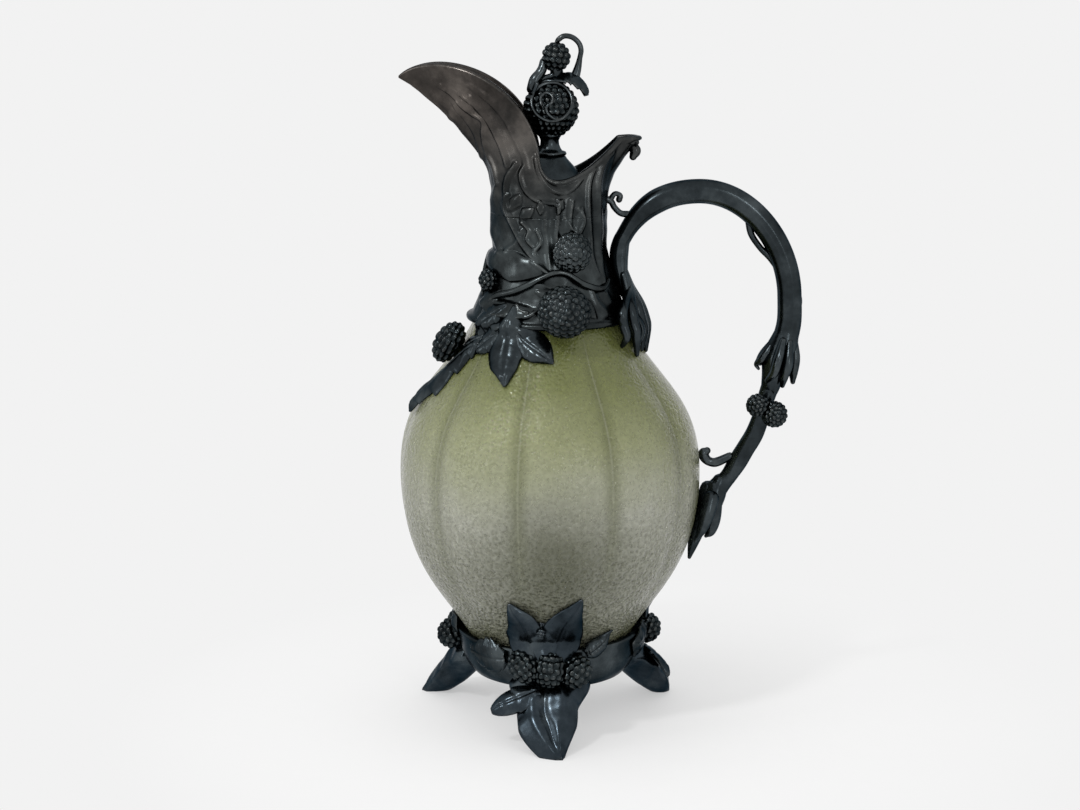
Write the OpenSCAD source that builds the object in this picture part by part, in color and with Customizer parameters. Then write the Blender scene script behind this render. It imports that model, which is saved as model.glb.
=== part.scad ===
// Claret jug: a lobed glass body in dark cast mounts of brambles, on three leaf feet,
// with a tall pouring lip, a whiplash handle and a lift-out conical lid.
// Millimetres, +Z up, the floor at z = 0, the pouring lip towards -X and the handle towards +X.

/* [Glass] */
// Outer radius of the glass at its widest
glass_r = 79; // [72:1:84]
// Height of the widest ring of the glass
glass_mid_z = 132; // [126:1:138]
// Outer radius of the flat underside of the glass
glass_foot_r = 38.7; // [36:0.1:41]
// Height of the flat underside of the glass
glass_foot_z = 29.7; // [27:0.1:32]
// Outer radius of the glass neck
glass_neck_r = 24.5; // [23:0.1:25.5]
// Height where the neck of the glass runs straight
glass_neck_z = 262; // [256:1:264]
// Thickness of the glass, measured level
glass_wall = 4; // [3:0.1:5]
// Thickness of the bottom of the glass
glass_bottom = 7; // [4:0.5:12]
// Number of melon lobes
lobes = 10; // [8:1:12]
// Depth of the grooves between the lobes
lobe_depth = 1.8; // [0.5:0.1:2]

/* [Neck mount] */
// Outer radius of the straight sleeve round the neck
sleeve_r = 29.5; // [28.5:0.1:31]
// Height of the sleeve's lower edge on the shoulder
collar_z = 213; // [208:1:218]
// Height where the sleeve ends and the spout begins
sleeve_top_z = 268; // [266:0.5:272]
// Thickness of the collar over the shoulder
collar_wall = 3.1; // [2.5:0.1:4]
// Radius of the rolled lower edge of the collar
collar_roll = 1.9; // [1.2:0.1:2.4]
// Thickness of the spout's wall
spout_wall = 2; // [1.6:0.1:2.6]
// Radius of the rolled lip along the spout's rim
lip_r = 1.6; // [1.2:0.1:2]
// Reach of the pouring tip from the axis
spout_reach = 76; // [70:1:82]
// Height of the pouring tip
spout_tip_z = 337; // [325:1:345]
// Height of the lowest point of the rim at each side
rim_dip_z = 284.5; // [284:0.5:290]
// Reach of the gutter behind the lid from the axis
gutter_reach = 46; // [40:1:50]
// Height of the gutter's end
gutter_z = 306; // [300:1:310]

/* [Lid] */
// Radius of the lid's cone at its foot
lid_r = 25; // [24:0.1:25.5]
// Height of the lid's cone
cone_h = 20; // [16:0.5:24]
// Radius of the flat on top of the cone
cone_top_r = 8.2; // [7:0.1:9]
// Thickness of the cone's wall
cone_wall = 1.8; // [1.2:0.1:2.5]
// Inner radius of the ring that the lid sits on
seat_r = 21.8; // [21:0.1:22.2]
// Height of the ring that the lid sits on
seat_h = 9; // [7:0.5:10]
// Clearance of the lid in its seat, all round and below
lid_gap = 0.4; // [0.2:0.05:0.6]
// Radius of the large berry on the lid
finial_r = 14.6; // [13:0.1:16]
// Radius of the small berry on the lid
bud_r = 7.5; // [6.5:0.1:8]
// Radius of the wire in the loop on top
loop_wire_r = 1.3; // [1:0.1:1.6]

/* [Handle] */
// Reach of the handle's axis from the jug's axis
handle_reach = 124; // [118:1:130]
// Height of the highest point of the handle's axis
handle_top_z = 279; // [274:1:284]
// Radius of the handle's bar
handle_r = 6.4; // [5.5:0.1:7]
// Radius of the thin stem below the bud
stem_r = 4.9; // [4:0.1:5.4]

/* [Foot] */
// Outer radius of the cup that holds the glass, at its waist
cup_r = 46.4; // [46:0.1:49]
// Height of the cup's upper edge
cup_top_z = 48.5; // [46:0.5:50]
// Height of the cup's underside
cup_low_z = 25.5; // [23:0.5:26]
// Reach of the feet from the axis
foot_reach = 77; // [72:1:82]
// Number of feet
feet = 3; // [3:1:3]

/* [Ornament] */
// Radius of the bramble stems that lie on the neck mount
vine_r = 1.9; // [1.4:0.1:2.4]
// Height of the leaves' crown over what they lie on
leaf_crown = 3.4; // [2.4:0.1:4.5]
// Clearance between the glass and the mounts that it is cemented into
fit_gap = 0.25; // [0.2:0.05:0.4]
// Clearance under pieces that lie on another
seat_gap = 0.3; // [0.2:0.05:0.4]

/* [Hidden] */
$fn = 48;
metal = [0.19, 0.21, 0.22];
metal_light = [0.27, 0.29, 0.30];
olive_glass = [0.56, 0.56, 0.42, 0.8];

// The bounding box's middle is the origin, so the jug's own axis stands to one side of it
axis_x = -(handle_reach + handle_r + 0.9 - glass_r + lobe_depth) / 2;
groove_az = 6;
loop_r = 1.7;
seat_play = 1;
side_gap = seat_gap + 0.4;
foot_az = 270;
lid_z = sleeve_top_z + seat_h + lid_gap / 2;
cone_top_z = lid_z + cone_h;

// How much larger than drawn each group is, so that its small sizes follow its named ones
neck_k = (sleeve_top_z - collar_z) / 55;
base_k = cup_top_z / 48.5;
foot_k = foot_reach / 77;
handle_k = (handle_top_z - glass_mid_z) / 147;
bar_k = handle_r / 6.4;
finial_k = finial_r / 14.6;
finial_z = cone_top_z + 22.8 * finial_k;
bud_z = finial_z + 25.5 * finial_k;
finial_drupelet = 4 * finial_k;
bud_drupelet = 2.6 * finial_k;

// Point on a cubic curve with four control points, at t from 0 to 1
function cubic(p, t) = pow(1 - t, 3) * p[0] + 3 * pow(1 - t, 2) * t * p[1]
    + 3 * (1 - t) * t * t * p[2] + pow(t, 3) * p[3];
function cubic_path(p, n) = [for (i = [0:n]) cubic(p, i / n)];
function unit(v) = v / norm(v);
function lerp(a, b, t) = a + (b - a) * t;

// Glass outline as [radius, height], from the foot to the widest ring and on to the neck
glass_low = [[glass_foot_r, glass_foot_z], [glass_foot_r + 2.6, glass_foot_z + 31.6],
    [glass_r, glass_mid_z - 59.9], [glass_r, glass_mid_z]];
glass_high = [[glass_r, glass_mid_z], [glass_r, glass_mid_z + 57.9],
    [glass_neck_r + 11.1, glass_neck_z - 81.5], [glass_neck_r, glass_neck_z]];
glass_top_z = sleeve_top_z - 0.5;
glass_line = concat(cubic_path(glass_low, 9), [for (i = [1:12]) cubic(glass_high, i / 12)],
    [[glass_neck_r, glass_top_z]]);
function glass_radius(z) = lookup(z, [for (p = glass_line) [p.y, p.x]]);

// Sleeve outline: the glass outline plus the collar's wall until it reaches the straight sleeve
function sleeve_radius(z) = max(sleeve_r, glass_radius(z) + collar_wall);
cup_line = [[glass_foot_r + 1.5, cup_low_z], [cup_r - 2.4, cup_low_z + 4.5],
    [cup_r, cup_low_z + 10], [cup_r + 0.8, cup_top_z - 8], [cup_r + 2.4, cup_top_z]];
cup_table = [for (p = cup_line) [p.y, p.x]];

roll_mid = [glass_radius(collar_z) + collar_roll + 0.4, collar_z + collar_roll];

// What an ornament lies on at a height: the cup, the glass or the neck mount. Just above the cup a leaf
// stands straight up until the glass has come out as far as the cup's edge
function skin_radius(z) = z <= cup_top_z ? lookup(z, cup_table)
    : z < glass_mid_z ? max(glass_radius(z), cup_r + 2.4)
    : z < collar_z - 1 ? glass_radius(z)
    : z < collar_z + 2 * collar_roll ? max(sleeve_radius(z), roll_mid.x + collar_roll)
    : sleeve_radius(z);
function skin_point(az, z, h) = let (r = skin_radius(z) + h) [r * cos(az), r * sin(az), z];

// Triangles of a skin through rings of n points. Its ends are joined to each other if it is closed,
// and otherwise each is capped by triangles round a middle point
function skin_faces(count, n, closed) = concat(
    [for (i = [0:count - (closed ? 1 : 2)], j = [0:n - 1])
        let (a = i * n + j, b = i * n + (j + 1) % n, c = ((i + 1) % count) * n + j,
             d = ((i + 1) % count) * n + (j + 1) % n)
        each [[a, c, b], [b, c, d]]],
    closed ? [] : [for (j = [0:n - 1]) let (k = (count - 1) * n, next = (j + 1) % n)
        each [[count * n, j, next], [count * n + 1, k + next, k + j]]]);
function middle(ring) = [for (p = ring) 1] * ring / len(ring);

module skin(rings, closed = false) {
    ends = closed ? [] : [middle(rings[0]), middle(rings[len(rings) - 1])];
    polyhedron(concat([for (r = rings) each r], ends), skin_faces(len(rings), len(rings[0]), closed));
}

// Tube along a path; sizes gives a radius or [across, along up] at each point
function tangent(path, i) = unit(path[min(i + 1, len(path) - 1)] - path[max(i - 1, 0)]);
function tube_ring(p, t, up, size, n) =
    let (side = unit(cross(t, up)), top = cross(t, side), a = is_list(size) ? size : [size, size])
    [for (j = [0:n - 1]) p + a.x * cos(360 * j / n) * side + a.y * sin(360 * j / n) * top];

module tube(path, sizes, up = [0, 1, 0], n = 8) {
    skin([for (i = [0:len(path) - 1])
        tube_ring(path[i], tangent(path, i), up, is_list(sizes) ? sizes[i] : sizes, n)]);
}

// Tube that lies on the jug's skin through stops of [azimuth, height]
module skin_tube(stops, r, steps = 3, n = 6) {
    fine = [for (i = [0:len(stops) - 2], s = [0:steps - 1]) smooth(stops, i, s / steps)];
    path = [for (q = concat(fine, [stops[len(stops) - 1]])) skin_point(q.x, q.y, r + seat_gap)];
    count = len(path);
    skin([for (i = [0:count - 1]) let (end = min(i, count - 1 - i), f = end == 0 ? 0.45 : 1)
        tube_ring(path[i], tangent(path, i), unit([path[i].x, path[i].y, 0]), r * f, n)]);
}

// Smooth curve through stops, between stop i and the next
function smooth(p, i, t) =
    let (n = len(p) - 1, a = p[max(i - 1, 0)], b = p[i], c = p[i + 1], d = p[min(i + 2, n)])
    b + 0.5 * t * (c - a + t * (2 * a - 5 * b + 4 * c - d + t * (3 * (b - c) + d - a)));

// Leaf that lies on the jug's skin. Stops are [azimuth, height, half width on one side, and on the other],
// the first being on the right of one who looks from its root to its tip
function leaf_way(stops, i) =
    let (a = stops[max(i - 1, 0)], b = stops[min(i + 1, len(stops) - 1)])
    unit([(b.x - a.x) * PI / 180 * skin_radius(stops[i].y), b.y - a.y]);
function leaf_spot(s, way, w, h) =
    skin_point(s.x - w * way.y / skin_radius(s.y) * 180 / PI, s.y + w * way.x, h);
function leaf_ring(stops, i, crown, edge, gap) =
    let (s = stops[i], way = leaf_way(stops, i), tip = i == 0 || i == len(stops) - 1,
         low = gap + pow(max(s[2], s[3]) / 2, 2) / 8 / skin_radius(s.y),
         brim = low + edge, high = low + (tip ? edge * 1.2 : crown), fold = lerp(brim, high, 0.6))
    concat([for (w = [-s[2], -s[2] / 2, 0, s[3] / 2, s[3]]) leaf_spot(s, way, w, low)],
        [for (q = [[s[3], brim], [s[3] / 2, high], [0, fold], [-s[2] / 2, high], [-s[2], brim]])
            leaf_spot(s, way, q.x, q.y)]);

module skin_leaf(stops, crown = leaf_crown, edge = 1, gap = seat_gap) {
    skin([for (i = [0:len(stops) - 1]) leaf_ring(stops, i, crown, edge, gap)]);
}

// Stops drawn as heights over the collar's edge, turned into heights over the floor
function on_neck(stops) = [for (s = stops)
    [for (i = [0:len(s) - 1]) i == 0 ? s[0] : s[i] * neck_k + (i == 1 ? collar_z : 0)]];

// Egg-shaped berry of true round drupelets on a core, cut flat at the foot
function egg(r, h, e) = [r * cos(e), h * sin(e)];
module round_berry(r, h, rows, drupelet) {
    core = [for (e = [-66:12:90]) egg(r - drupelet * 0.9, h - drupelet * 0.9, e)];
    union() {
        rotate_extrude() polygon(concat([[0, core[0].y]], core));
        for (i = [0:len(rows) - 1])
            for (j = [0:rows[i][1] - 1])
                let (p = egg(r - drupelet, h - drupelet, rows[i][0]), a = 360 * (j + i % 2 / 2) / rows[i][1])
                translate([p.x * cos(a), p.x * sin(a), p.y]) sphere(drupelet);
    }
}

// Light berry: a six-sided facet cell for each drupelet, flat at both ends
module cell_berry(r, h, n = 12, m = 6, low = -75, high = 80, bump = 0.14) {
    rings = [for (i = [0:m]) let (e = lerp(low, high, i / m))
        [for (j = [0:n - 1])
            let (a = 360 * (j + i / 2) / n, up = i > 0 && i < m && (j - i + 3 * m) % 3 == 0,
                 p = egg(r, h, e) * (up ? 1 : 1 - bump))
            [p.x * cos(a), p.x * sin(a), p.y]]];
    skin(rings);
}

// How far a round berry's lowest drupelets reach below its middle
function berry_drop(h, drupelet, low) = (h - drupelet) * sin(-low) + drupelet;

// Stands a piece on the skin, its own +Z pointing straight out of it or up by the lean that is given
module on_skin(az, z, h, lean) {
    slope = is_undef(lean) ? atan2(skin_radius(z - 2) - skin_radius(z + 2), 4) : lean;
    translate(skin_point(az, z, 0)) rotate([0, 0, az]) rotate([0, 90 - slope, 0])
        translate([0, 0, h]) children();
}
// Light berry on the neck mount, at a height over the collar's edge
module skin_berry(az, z, r, h, low = -60, n = 12, m = 6) {
    color(metal_light) translate([axis_x, 0, 0])
        on_skin(az, collar_z + z * neck_k, seat_gap - h * neck_k * sin(low))
        cell_berry(r * neck_k, h * neck_k, n, m, low);
}

module glass_body() {
    n = lobes * 6;
    color(olive_glass) translate([axis_x, 0, 0]) difference() {
        skin([for (p = glass_line) [for (j = [0:n - 1]) glass_point(p, 360 * j / n + groove_az)]]);
        rotate_extrude($fn = 200) polygon(concat([[0, glass_foot_z + glass_bottom]],
            [for (p = glass_line) if (p.y > glass_foot_z + glass_bottom)
                [p.x - glass_wall, p.y]],
            [[glass_neck_r - glass_wall, glass_top_z + 1], [0, glass_top_z + 1]]));
    }
}

// The grooves are deepest on the belly and fade out at the foot and under the collar
function groove(z) = lobe_depth * min(1, max(0, (z - glass_foot_z - 3) / 25),
    max(0, (collar_z - 2 - z) / 30));
function glass_point(p, az) =
    let (crest = abs(sin(lobes / 2 * (az - groove_az))), r = p.x - groove(p.y) * pow(1 - crest, 1.3))
    [r * cos(az), r * sin(az), p.y];

module neck_sleeve() {
    zs = [for (z = [collar_z:5:sleeve_top_z - 13]) z];
    color(metal) translate([axis_x, 0, 0]) union() {
        rotate_extrude() polygon(concat(
            [[glass_radius(collar_z) + fit_gap, collar_z]],
            [for (p = glass_line) if (p.y > collar_z + 0.1 && p.y <= glass_neck_z) p + [fit_gap, 0]],
            [[glass_neck_r + fit_gap, sleeve_top_z], [sleeve_r, sleeve_top_z]],
            [for (i = [len(zs) - 1:-1:0]) [sleeve_radius(zs[i]), zs[i]]]));
        rotate_extrude() translate(roll_mid) circle(collar_roll);
    }
}

// The rim's side seen level: from the pouring tip over the dip to the gutter behind the lid
rim_front = [[-spout_reach, 0, spout_tip_z], [18 - spout_reach, 12, spout_tip_z + 15.5],
    [-8.6, 26.5, spout_tip_z - 1], [-5, 28.2, rim_dip_z + 11]];
rim_side = [[-5, 28.2, rim_dip_z + 11], [-2.5, 29, rim_dip_z - 5], [14, 28, rim_dip_z - 1],
    [gutter_reach - 10, 9, gutter_z - 0.5]];
rim_half = concat(
    [for (i = [0:7]) concat(cubic(rim_front, i / 8), [180 - 78 * i / 8])],
    [for (i = [0:7]) concat(cubic(rim_side, i / 8), [102 - 84 * i / 8])],
    [[gutter_reach - 10, 9, gutter_z - 0.5, 18], [gutter_reach - 1.5, 4, gutter_z, 8],
     [gutter_reach, 0, gutter_z, 0]]);
rim = concat(rim_half, [for (i = [len(rim_half) - 2:-1:1])
    let (q = rim_half[i]) [q[0], -q[1], q[2], -q[3]]]);

// One upright section of the spout's wall, from the sleeve up to the rolled lip and down inside
function spout_section(q) =
    let (tip = [q[0], q[1], q[2]], out = [cos(q[3]), sin(q[3]), 0],
         inward = -unit([12 * cos(q[3]), q[1], 0]), rise = q[2] - sleeve_top_z,
         base = [0, 0, sleeve_top_z])
    concat(
        [for (t = [0, 0.2, 0.4, 0.6, 0.78, 0.92]) spout_wall_point(base + sleeve_r * out, tip, rise, t)],
        [tip - inward * (lip_r - 0.6) - [0, 0, 0.6 * lip_r], tip + [0, 0, 0.5 * lip_r],
         tip + inward * (spout_wall + lip_r - 0.8) - [0, 0, 0.6 * lip_r]],
        [for (t = [0.92, 0.78, 0.6, 0.4, 0.2, 0]) spout_wall_point(
            base + (sleeve_r - spout_wall) * out, tip + inward * spout_wall, rise, t)]);
function spout_wall_point(b, tip, rise, t) = cubic([b, b + [0, 0, 0.364 * rise],
    [lerp(b.x, tip.x, 0.06), lerp(b.y, tip.y, 0.06), sleeve_top_z + 0.5 * rise], tip], t);

module spout() {
    color(metal) translate([axis_x, 0, 0]) skin([for (q = rim) spout_section(q)], closed = true);
}

module lid_seat() {
    color(metal) translate([axis_x, 0, sleeve_top_z]) difference() {
        cylinder(r = sleeve_r - spout_wall - seat_play, h = seat_h);
        translate([0, 0, -1]) cylinder(r = seat_r, h = seat_h + 2);
    }
}

module cup() {
    inner = [for (p = glass_line) if (p.y < cup_top_z - 0.1) p + [fit_gap, 0]];
    color(metal) translate([axis_x, 0, 0]) rotate_extrude() polygon(concat(
        [[0, cup_low_z]], cup_line, [[glass_radius(cup_top_z) + fit_gap, cup_top_z]],
        [for (i = [len(inner) - 1:-1:0]) inner[i]], [[0, glass_foot_z]]));
}

// Handle: a broad root that lies on the glass, the collar and the sleeve, then up, over in an arch and
// down to the bud. Root stops are [height, gap behind it, half its depth, half its width]
root_stops = [[-13.5, 0.3, 0.8, 2.6], [-9, 0.3, 2.4, 6.5], [-4, 0.3, 3.7, 9.4], [0.6, 1.3, 3.4, 10],
    [6.4, 1.4, 3.2, 9.6], [10, 0.9, 3, 9], [15, 0.5, 2.8, 8.2], [22, 0.5, 3.6, 7.4], [29, 0.5, 4.6, 6.8],
    [35, 0.5, 5.3, 6.4]];
arch_x = 0.621 * handle_reach;
handle_rise = [[sleeve_r + 7.4 * bar_k, 0, collar_z + 40 * neck_k], [sleeve_r + 12.5 * bar_k, 0,
    handle_top_z - 15.5 * handle_k], [0.415 * handle_reach, 0, handle_top_z], [arch_x, 0, handle_top_z]];
handle_fall = [[arch_x, 0, handle_top_z], [0.823 * handle_reach, 0, handle_top_z],
    [handle_reach - 1, 0, handle_top_z - 26 * handle_k], [handle_reach, 0, handle_top_z - 54 * handle_k]];
bud_stops = [for (s = [[0.4, 66], [-1.8, 79], [-4.6, 88], [-6.5, 96], [-9.4, 103.5]])
    [handle_reach + s.x * handle_k, 0, handle_top_z - s.y * handle_k]];
bud_sizes = [for (r = [[6.6, 6.6], [7, 7], [9.4, 8.6], [7.4, 7.4], [5.6, 5.6]]) r * bar_k];

module handle() {
    root = [for (s = root_stops) let (z = collar_z + s[0] * neck_k)
        [skin_radius(z) + s[1] + s[2] * bar_k, 0, z]];
    path = concat(root, cubic_path(handle_rise, 9), [for (i = [1:12]) cubic(handle_fall, i / 12)], bud_stops);
    sizes = concat([for (s = root_stops) [s[2], s[3]] * bar_k],
        [for (i = [0:21]) handle_r * (i == 0 ? [0.86, 0.98] : i == 1 ? [0.9, 1] : [1, 1])], bud_sizes);
    color(metal) translate([axis_x, 0, 0]) tube(path, sizes, n = 12);
}

// The stem runs from below the bud to the glass. Its bend is [share of the way in, share of the way down]
stem_from = [handle_reach - 9.8 * handle_k, handle_top_z - 104 * handle_k];
stem_to = [glass_radius(glass_mid_z - 11.2) + 8.1 * handle_k, glass_mid_z - 11.2 * handle_k];
stem_bend = [[0, 0], [0.109, 0.203], [0.255, 0.434], [0.422, 0.581], [0.567, 0.71], [0.713, 0.83],
    [0.851, 0.923], [1, 1]];
function stem_point(s) = [lerp(stem_from.x, stem_to.x, s.x), 0, lerp(stem_from.y, stem_to.y, s.y)];

module handle_stem() {
    sizes = stem_r * [0.94, 1, 1, 0.98, 0.94, 0.88, 0.9, 0.94];
    color(metal) translate([axis_x, 0, 0]) tube([for (s = stem_bend) stem_point(s)], sizes, n = 10);
}

module handle_foot_leaf() {
    // Heights, half widths across and thicknesses out from the glass, down its back
    zs = [for (d = [14.5, 19, 25, 31, 36, 42, 48]) glass_mid_z - d * handle_k];
    wide = handle_k * [4.4, 8, 11, 11.5, 9.5, 6, 1.4];
    deep = handle_k * [12, 12.4, 12, 11, 9, 5, 1.4];
    color(metal) translate([axis_x, 0, 0]) skin([for (i = [0:len(zs) - 1])
        let (z = zs[i], x = glass_radius(z) - 0.4)
        [[x, -wide[i], z], [x, wide[i], z], [x + deep[i] * 0.5, wide[i], z - 0.5],
         [x + deep[i], wide[i] * 0.45, z], [x + deep[i] * 0.86, 0, z],
         [x + deep[i], -wide[i] * 0.45, z], [x + deep[i] * 0.5, -wide[i], z - 0.5]]]);
}

// Curl that leaves the stem and rolls up beside the glass. Stops are [share of the way in, height]
module handle_curl() {
    root = stem_point([0.5, 0.65]).x - 6.8 * handle_k;
    tip = glass_r + 1.4;
    path = [for (s = [[0, 0], [0.424, -2], [0.682, -2.4], [0.91, -1], [1, 1.6], [0.88, 3.4]])
        [lerp(root, tip, s.x), 0, glass_mid_z + (7.6 + s.y) * handle_k]];
    color(metal) translate([axis_x, 0, 0]) tube(path, handle_k * [1.6, 2, 2.2, 2.4, 2.2, 0.8], n = 8);
}

// Tendril that leaves the handle's inner side, runs beside it and comes back
module handle_loop() {
    from = 0.43;
    to = 0.74;
    path = [for (i = [0:9]) let (t = lerp(from, to, i / 9), q = cubic(handle_fall, t),
        way = unit(cubic(handle_fall, t + 0.01) - q))
        q + (handle_r + loop_r + 0.2 + 2 * loop_r * sin(180 * i / 9)) * [way.z, 0, -way.x]];
    color(metal) translate([axis_x, 0, 0]) tube(path, loop_r, n = 6);
}

module handle_tendril() {
    path = [for (s = [[1.8, 0], [4.1, 4.4], [7.1, 4], [7.7, 0.6], [8.8, -0.3]])
        [sleeve_r + s.x * neck_k, 0, sleeve_top_z + s.y * neck_k]];
    color(metal) translate([axis_x, 0, 0]) tube(path, neck_k * [1.5, 1.8, 1.8, 1.6, 1], n = 6);
}

// Berry in front of the stem, pushed sideways and forwards from a place along it
module stem_berry(s, aside, fore, r) {
    at = stem_point(s) + [aside, -fore, 0] * handle_k;
    color(metal_light) translate([axis_x, 0, 0]) translate(at) rotate([90, 0, 0])
        cell_berry(r * handle_k, r * handle_k);
}
module handle_berry_inner() { stem_berry([0.061, 0.114], -4.7, 9.5, 5.4); }
module handle_berry_outer() { stem_berry([0.125, 0.229], 7.4, 9, 6.5); }

module vine_front() {
    color(metal) translate([axis_x, 0, 0])
        skin_tube(on_neck([[214, 12], [222, 15.5], [241, 19], [261, 25], [274, 28], [285, 27.5],
            [300, 22], [318, 19], [334, 23]]), vine_r);
}

module vine_left() {
    color(metal) translate([axis_x, 0, 0])
        skin_tube(on_neck([[200, 14], [190, 22], [178, 30], [165, 34], [150, 31], [132, 27], [112, 24],
            [90, 23], [60, 25], [28, 27]]), vine_r);
}

module vine_branch() {
    color(metal) translate([axis_x, 0, 0])
        skin_tube(on_neck([[243, 13], [247, 9.6], [255, 8.5]]), vine_r * 0.8);
}

module shoulder_leaf_front() {
    color(metal) translate([axis_x, 0, 0])
        skin_leaf(on_neck([[242, 8.5, 1.5, 1.5], [242, 5.6, 2.4, 2], [242, 3.7, 4, 3], [242, 0.2, 5, 4],
            [241, -4.6, 11, 9], [240, -9.5, 15, 17], [242, -14.6, 11, 23], [244, -19.4, 7, 8],
            [246, -26, 1.2, 1.2]]));
}

module shoulder_leaf_left() {
    color(metal) translate([axis_x, 0, 0])
        skin_leaf(on_neck([[219, -8.6, 2.4, 3], [214, -9.8, 5, 6], [208, -13.5, 3.5, 8.6],
            [202, -20, 1.5, 10], [197, -28, 2.4, 12.4], [192, -34.5, 7, 8], [188, -41, 5, 6],
            [185.5, -47.5, 1, 1.2]]));
}

module shoulder_leaf_back() {
    color(metal) translate([axis_x, 0, 0])
        skin_leaf(on_neck([[84, 0, 2, 2], [86, -6, 9, 8], [88, -12, 14, 12], [90, -18, 11, 16],
            [92, -24, 9, 8], [95, -31, 1.2, 1.2]]));
}

module shoulder_berry_front() {
    color(metal_light) translate([axis_x, 0, 0]) on_skin(279, collar_z + 7 * neck_k, 7.4 * neck_k, 28)
        round_berry(13.6 * neck_k, 8.8 * neck_k, [[-30, 11], [8, 12], [44, 8], [90, 1]], 3.6 * neck_k);
}

// This one lies along the slope of the shoulder
module shoulder_berry_left() {
    color(metal_light) translate([axis_x, 0, 0]) on_skin(194, collar_z - 14 * neck_k, 6.9 * neck_k, 33)
        rotate([0, 90, 0]) cell_berry(7.4 * neck_k, 11.4 * neck_k, n = 15);
}

module neck_berry_front() { skin_berry(291, 38, 10.4, 4.6, low = -30, n = 18, m = 5); }
module neck_berry_left() { skin_berry(209, 22.5, 5.6, 4.4, low = -45, m = 5); }

module lid_cone() {
    color(metal) translate([axis_x, 0, lid_z]) rotate_extrude() polygon([
        [seat_r - lid_gap - 2.2, 0], [lid_r, 0], [lid_r, 1.2], [cone_top_r, cone_h], [0, cone_h],
        [0, cone_h - cone_wall * 1.6], [cone_top_r - cone_wall, cone_h - cone_wall * 1.6],
        [lid_r - 1.9 * cone_wall, 1.6], [seat_r - lid_gap - 2.2, 1.6]]);
}

module lid_skirt() {
    color(metal) translate([axis_x, 0, lid_z - seat_h + 1]) difference() {
        cylinder(r = seat_r - lid_gap, h = seat_h - 1);
        translate([0, 0, -1]) cylinder(r = seat_r - lid_gap - 2, h = seat_h + 1);
    }
}

module finial_stem() {
    stem = finial_z - cone_top_z - berry_drop(finial_r, finial_drupelet, -50) - 0.1;
    k = finial_k;
    color(metal) translate([axis_x, 0, cone_top_z]) rotate_extrude() polygon([
        [0, 0], [cone_top_r, 0], [cone_top_r + 0.5 * k, k], [cone_top_r, 2 * k], [5.2 * k, 2.8 * k],
        [4.6 * k, stem - 3 * k], [5.6 * k, stem], [0, stem]]);
}

module finial_berry() {
    color(metal_light) translate([axis_x, 0, finial_z])
        round_berry(finial_r, finial_r, [[-50, 8], [-20, 11], [12, 11], [44, 8]], finial_drupelet);
}

module finial_twig() {
    foot = finial_z + finial_r - finial_drupelet * 0.9;
    top = bud_z - berry_drop(bud_r, bud_drupelet, -44) - 0.1;
    color(metal) translate([axis_x, 0, foot]) cylinder(r = 3 * finial_k, h = top - foot);
}

module finial_bud() {
    color(metal_light) translate([axis_x, 0, bud_z])
        round_berry(bud_r, bud_r, [[-44, 6], [-6, 8], [32, 6], [90, 1]], bud_drupelet);
}

module finial_loop() {
    path = [for (q = concat([for (a = [152:-19:-20]) [7.4 + 9 * cos(a), 3.9 + 9.3 * sin(a)]],
        [[15.4, -4], [14.2, -7.4]])) [q.x * finial_k, 0, bud_z + q.y * finial_k]];
    color(metal) translate([axis_x, 0, 0]) tube(path, loop_wire_r, n = 6);
}

module finial_leaf() {
    path = [for (q = [[10.7, 15.5], [12.4, 12.6], [15.2, 10.6], [18.4, 11.2], [20.6, 14], [19.4, 17]])
        [q.x * finial_k, 0, bud_z - q.y * finial_k]];
    color(metal) translate([axis_x, 0, 0])
        tube(path, finial_k * [[1.6, 3], [2, 6], [2.2, 7.4], [2.2, 6.6], [1.8, 4.4], [0.8, 1.2]], n = 8);
}

module finial_tendril() {
    path = [for (a = [-250:26:92]) let (r = 7.6 - a / 110)
        finial_k * [1 + r * cos(a), a / 900 + 2.2 * pow(a / 250, 2) - 14.7, 1 + r * sin(a)]];
    color(metal) translate([axis_x, 0, finial_z]) tube(path, 1.1 * finial_k, n = 6);
}

// Foot: a leaf that springs from the cup, falls outwards and ends in a toe on the floor.
// Stops along its middle: [reach, left edge, right edge, top, underside at the edges, keel]
foot_stops = [for (s = [[36, -22, 22, 40, 27, 25], [46.5, -24, 21, 37, 25.5, 14],
    [53.5, -28, 18, 31, 20.5, 7.5], [57.5, -30.5, 15, 27, 18.5, 4.5], [61, -17, 14.5, 22, 13, 2],
    [65, -15.5, 12.5, 17.5, 9.5, -0.5], [70, -10.5, 9.5, 11.5, 4, -3], [74.5, -3.5, 7.2, 6, -1, -4],
    [77, 3, 6.6, 1.8, -2, -2.5]]) [for (i = [0:5]) s[i] * (i == 0 ? foot_k : base_k)]];

function foot_ring(s) =
    let (x = s[0], mid = (s[1] + s[2]) / 2, brim = lerp(s[4], s[3], 0.55), fold = s[3] - 1.6)
    [[x, s[1], s[4]], [x, mid, s[5]], [x, s[2], s[4]], [x, s[2], brim], [x, lerp(mid, s[2], 0.5), s[3]],
     [x, mid, fold], [x, lerp(mid, s[1], 0.5), s[3]], [x, s[1], brim]];

// Stops drawn at the heights of the base as it stands, scaled with it
function on_base(stops) = [for (s = stops) [for (i = [0:len(s) - 1]) i == 0 ? s[0] : s[i] * base_k]];

module at_foot(i) {
    translate([axis_x, 0, 0]) rotate([0, 0, foot_az + 360 * (i - 1) / feet]) children();
}

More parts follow.
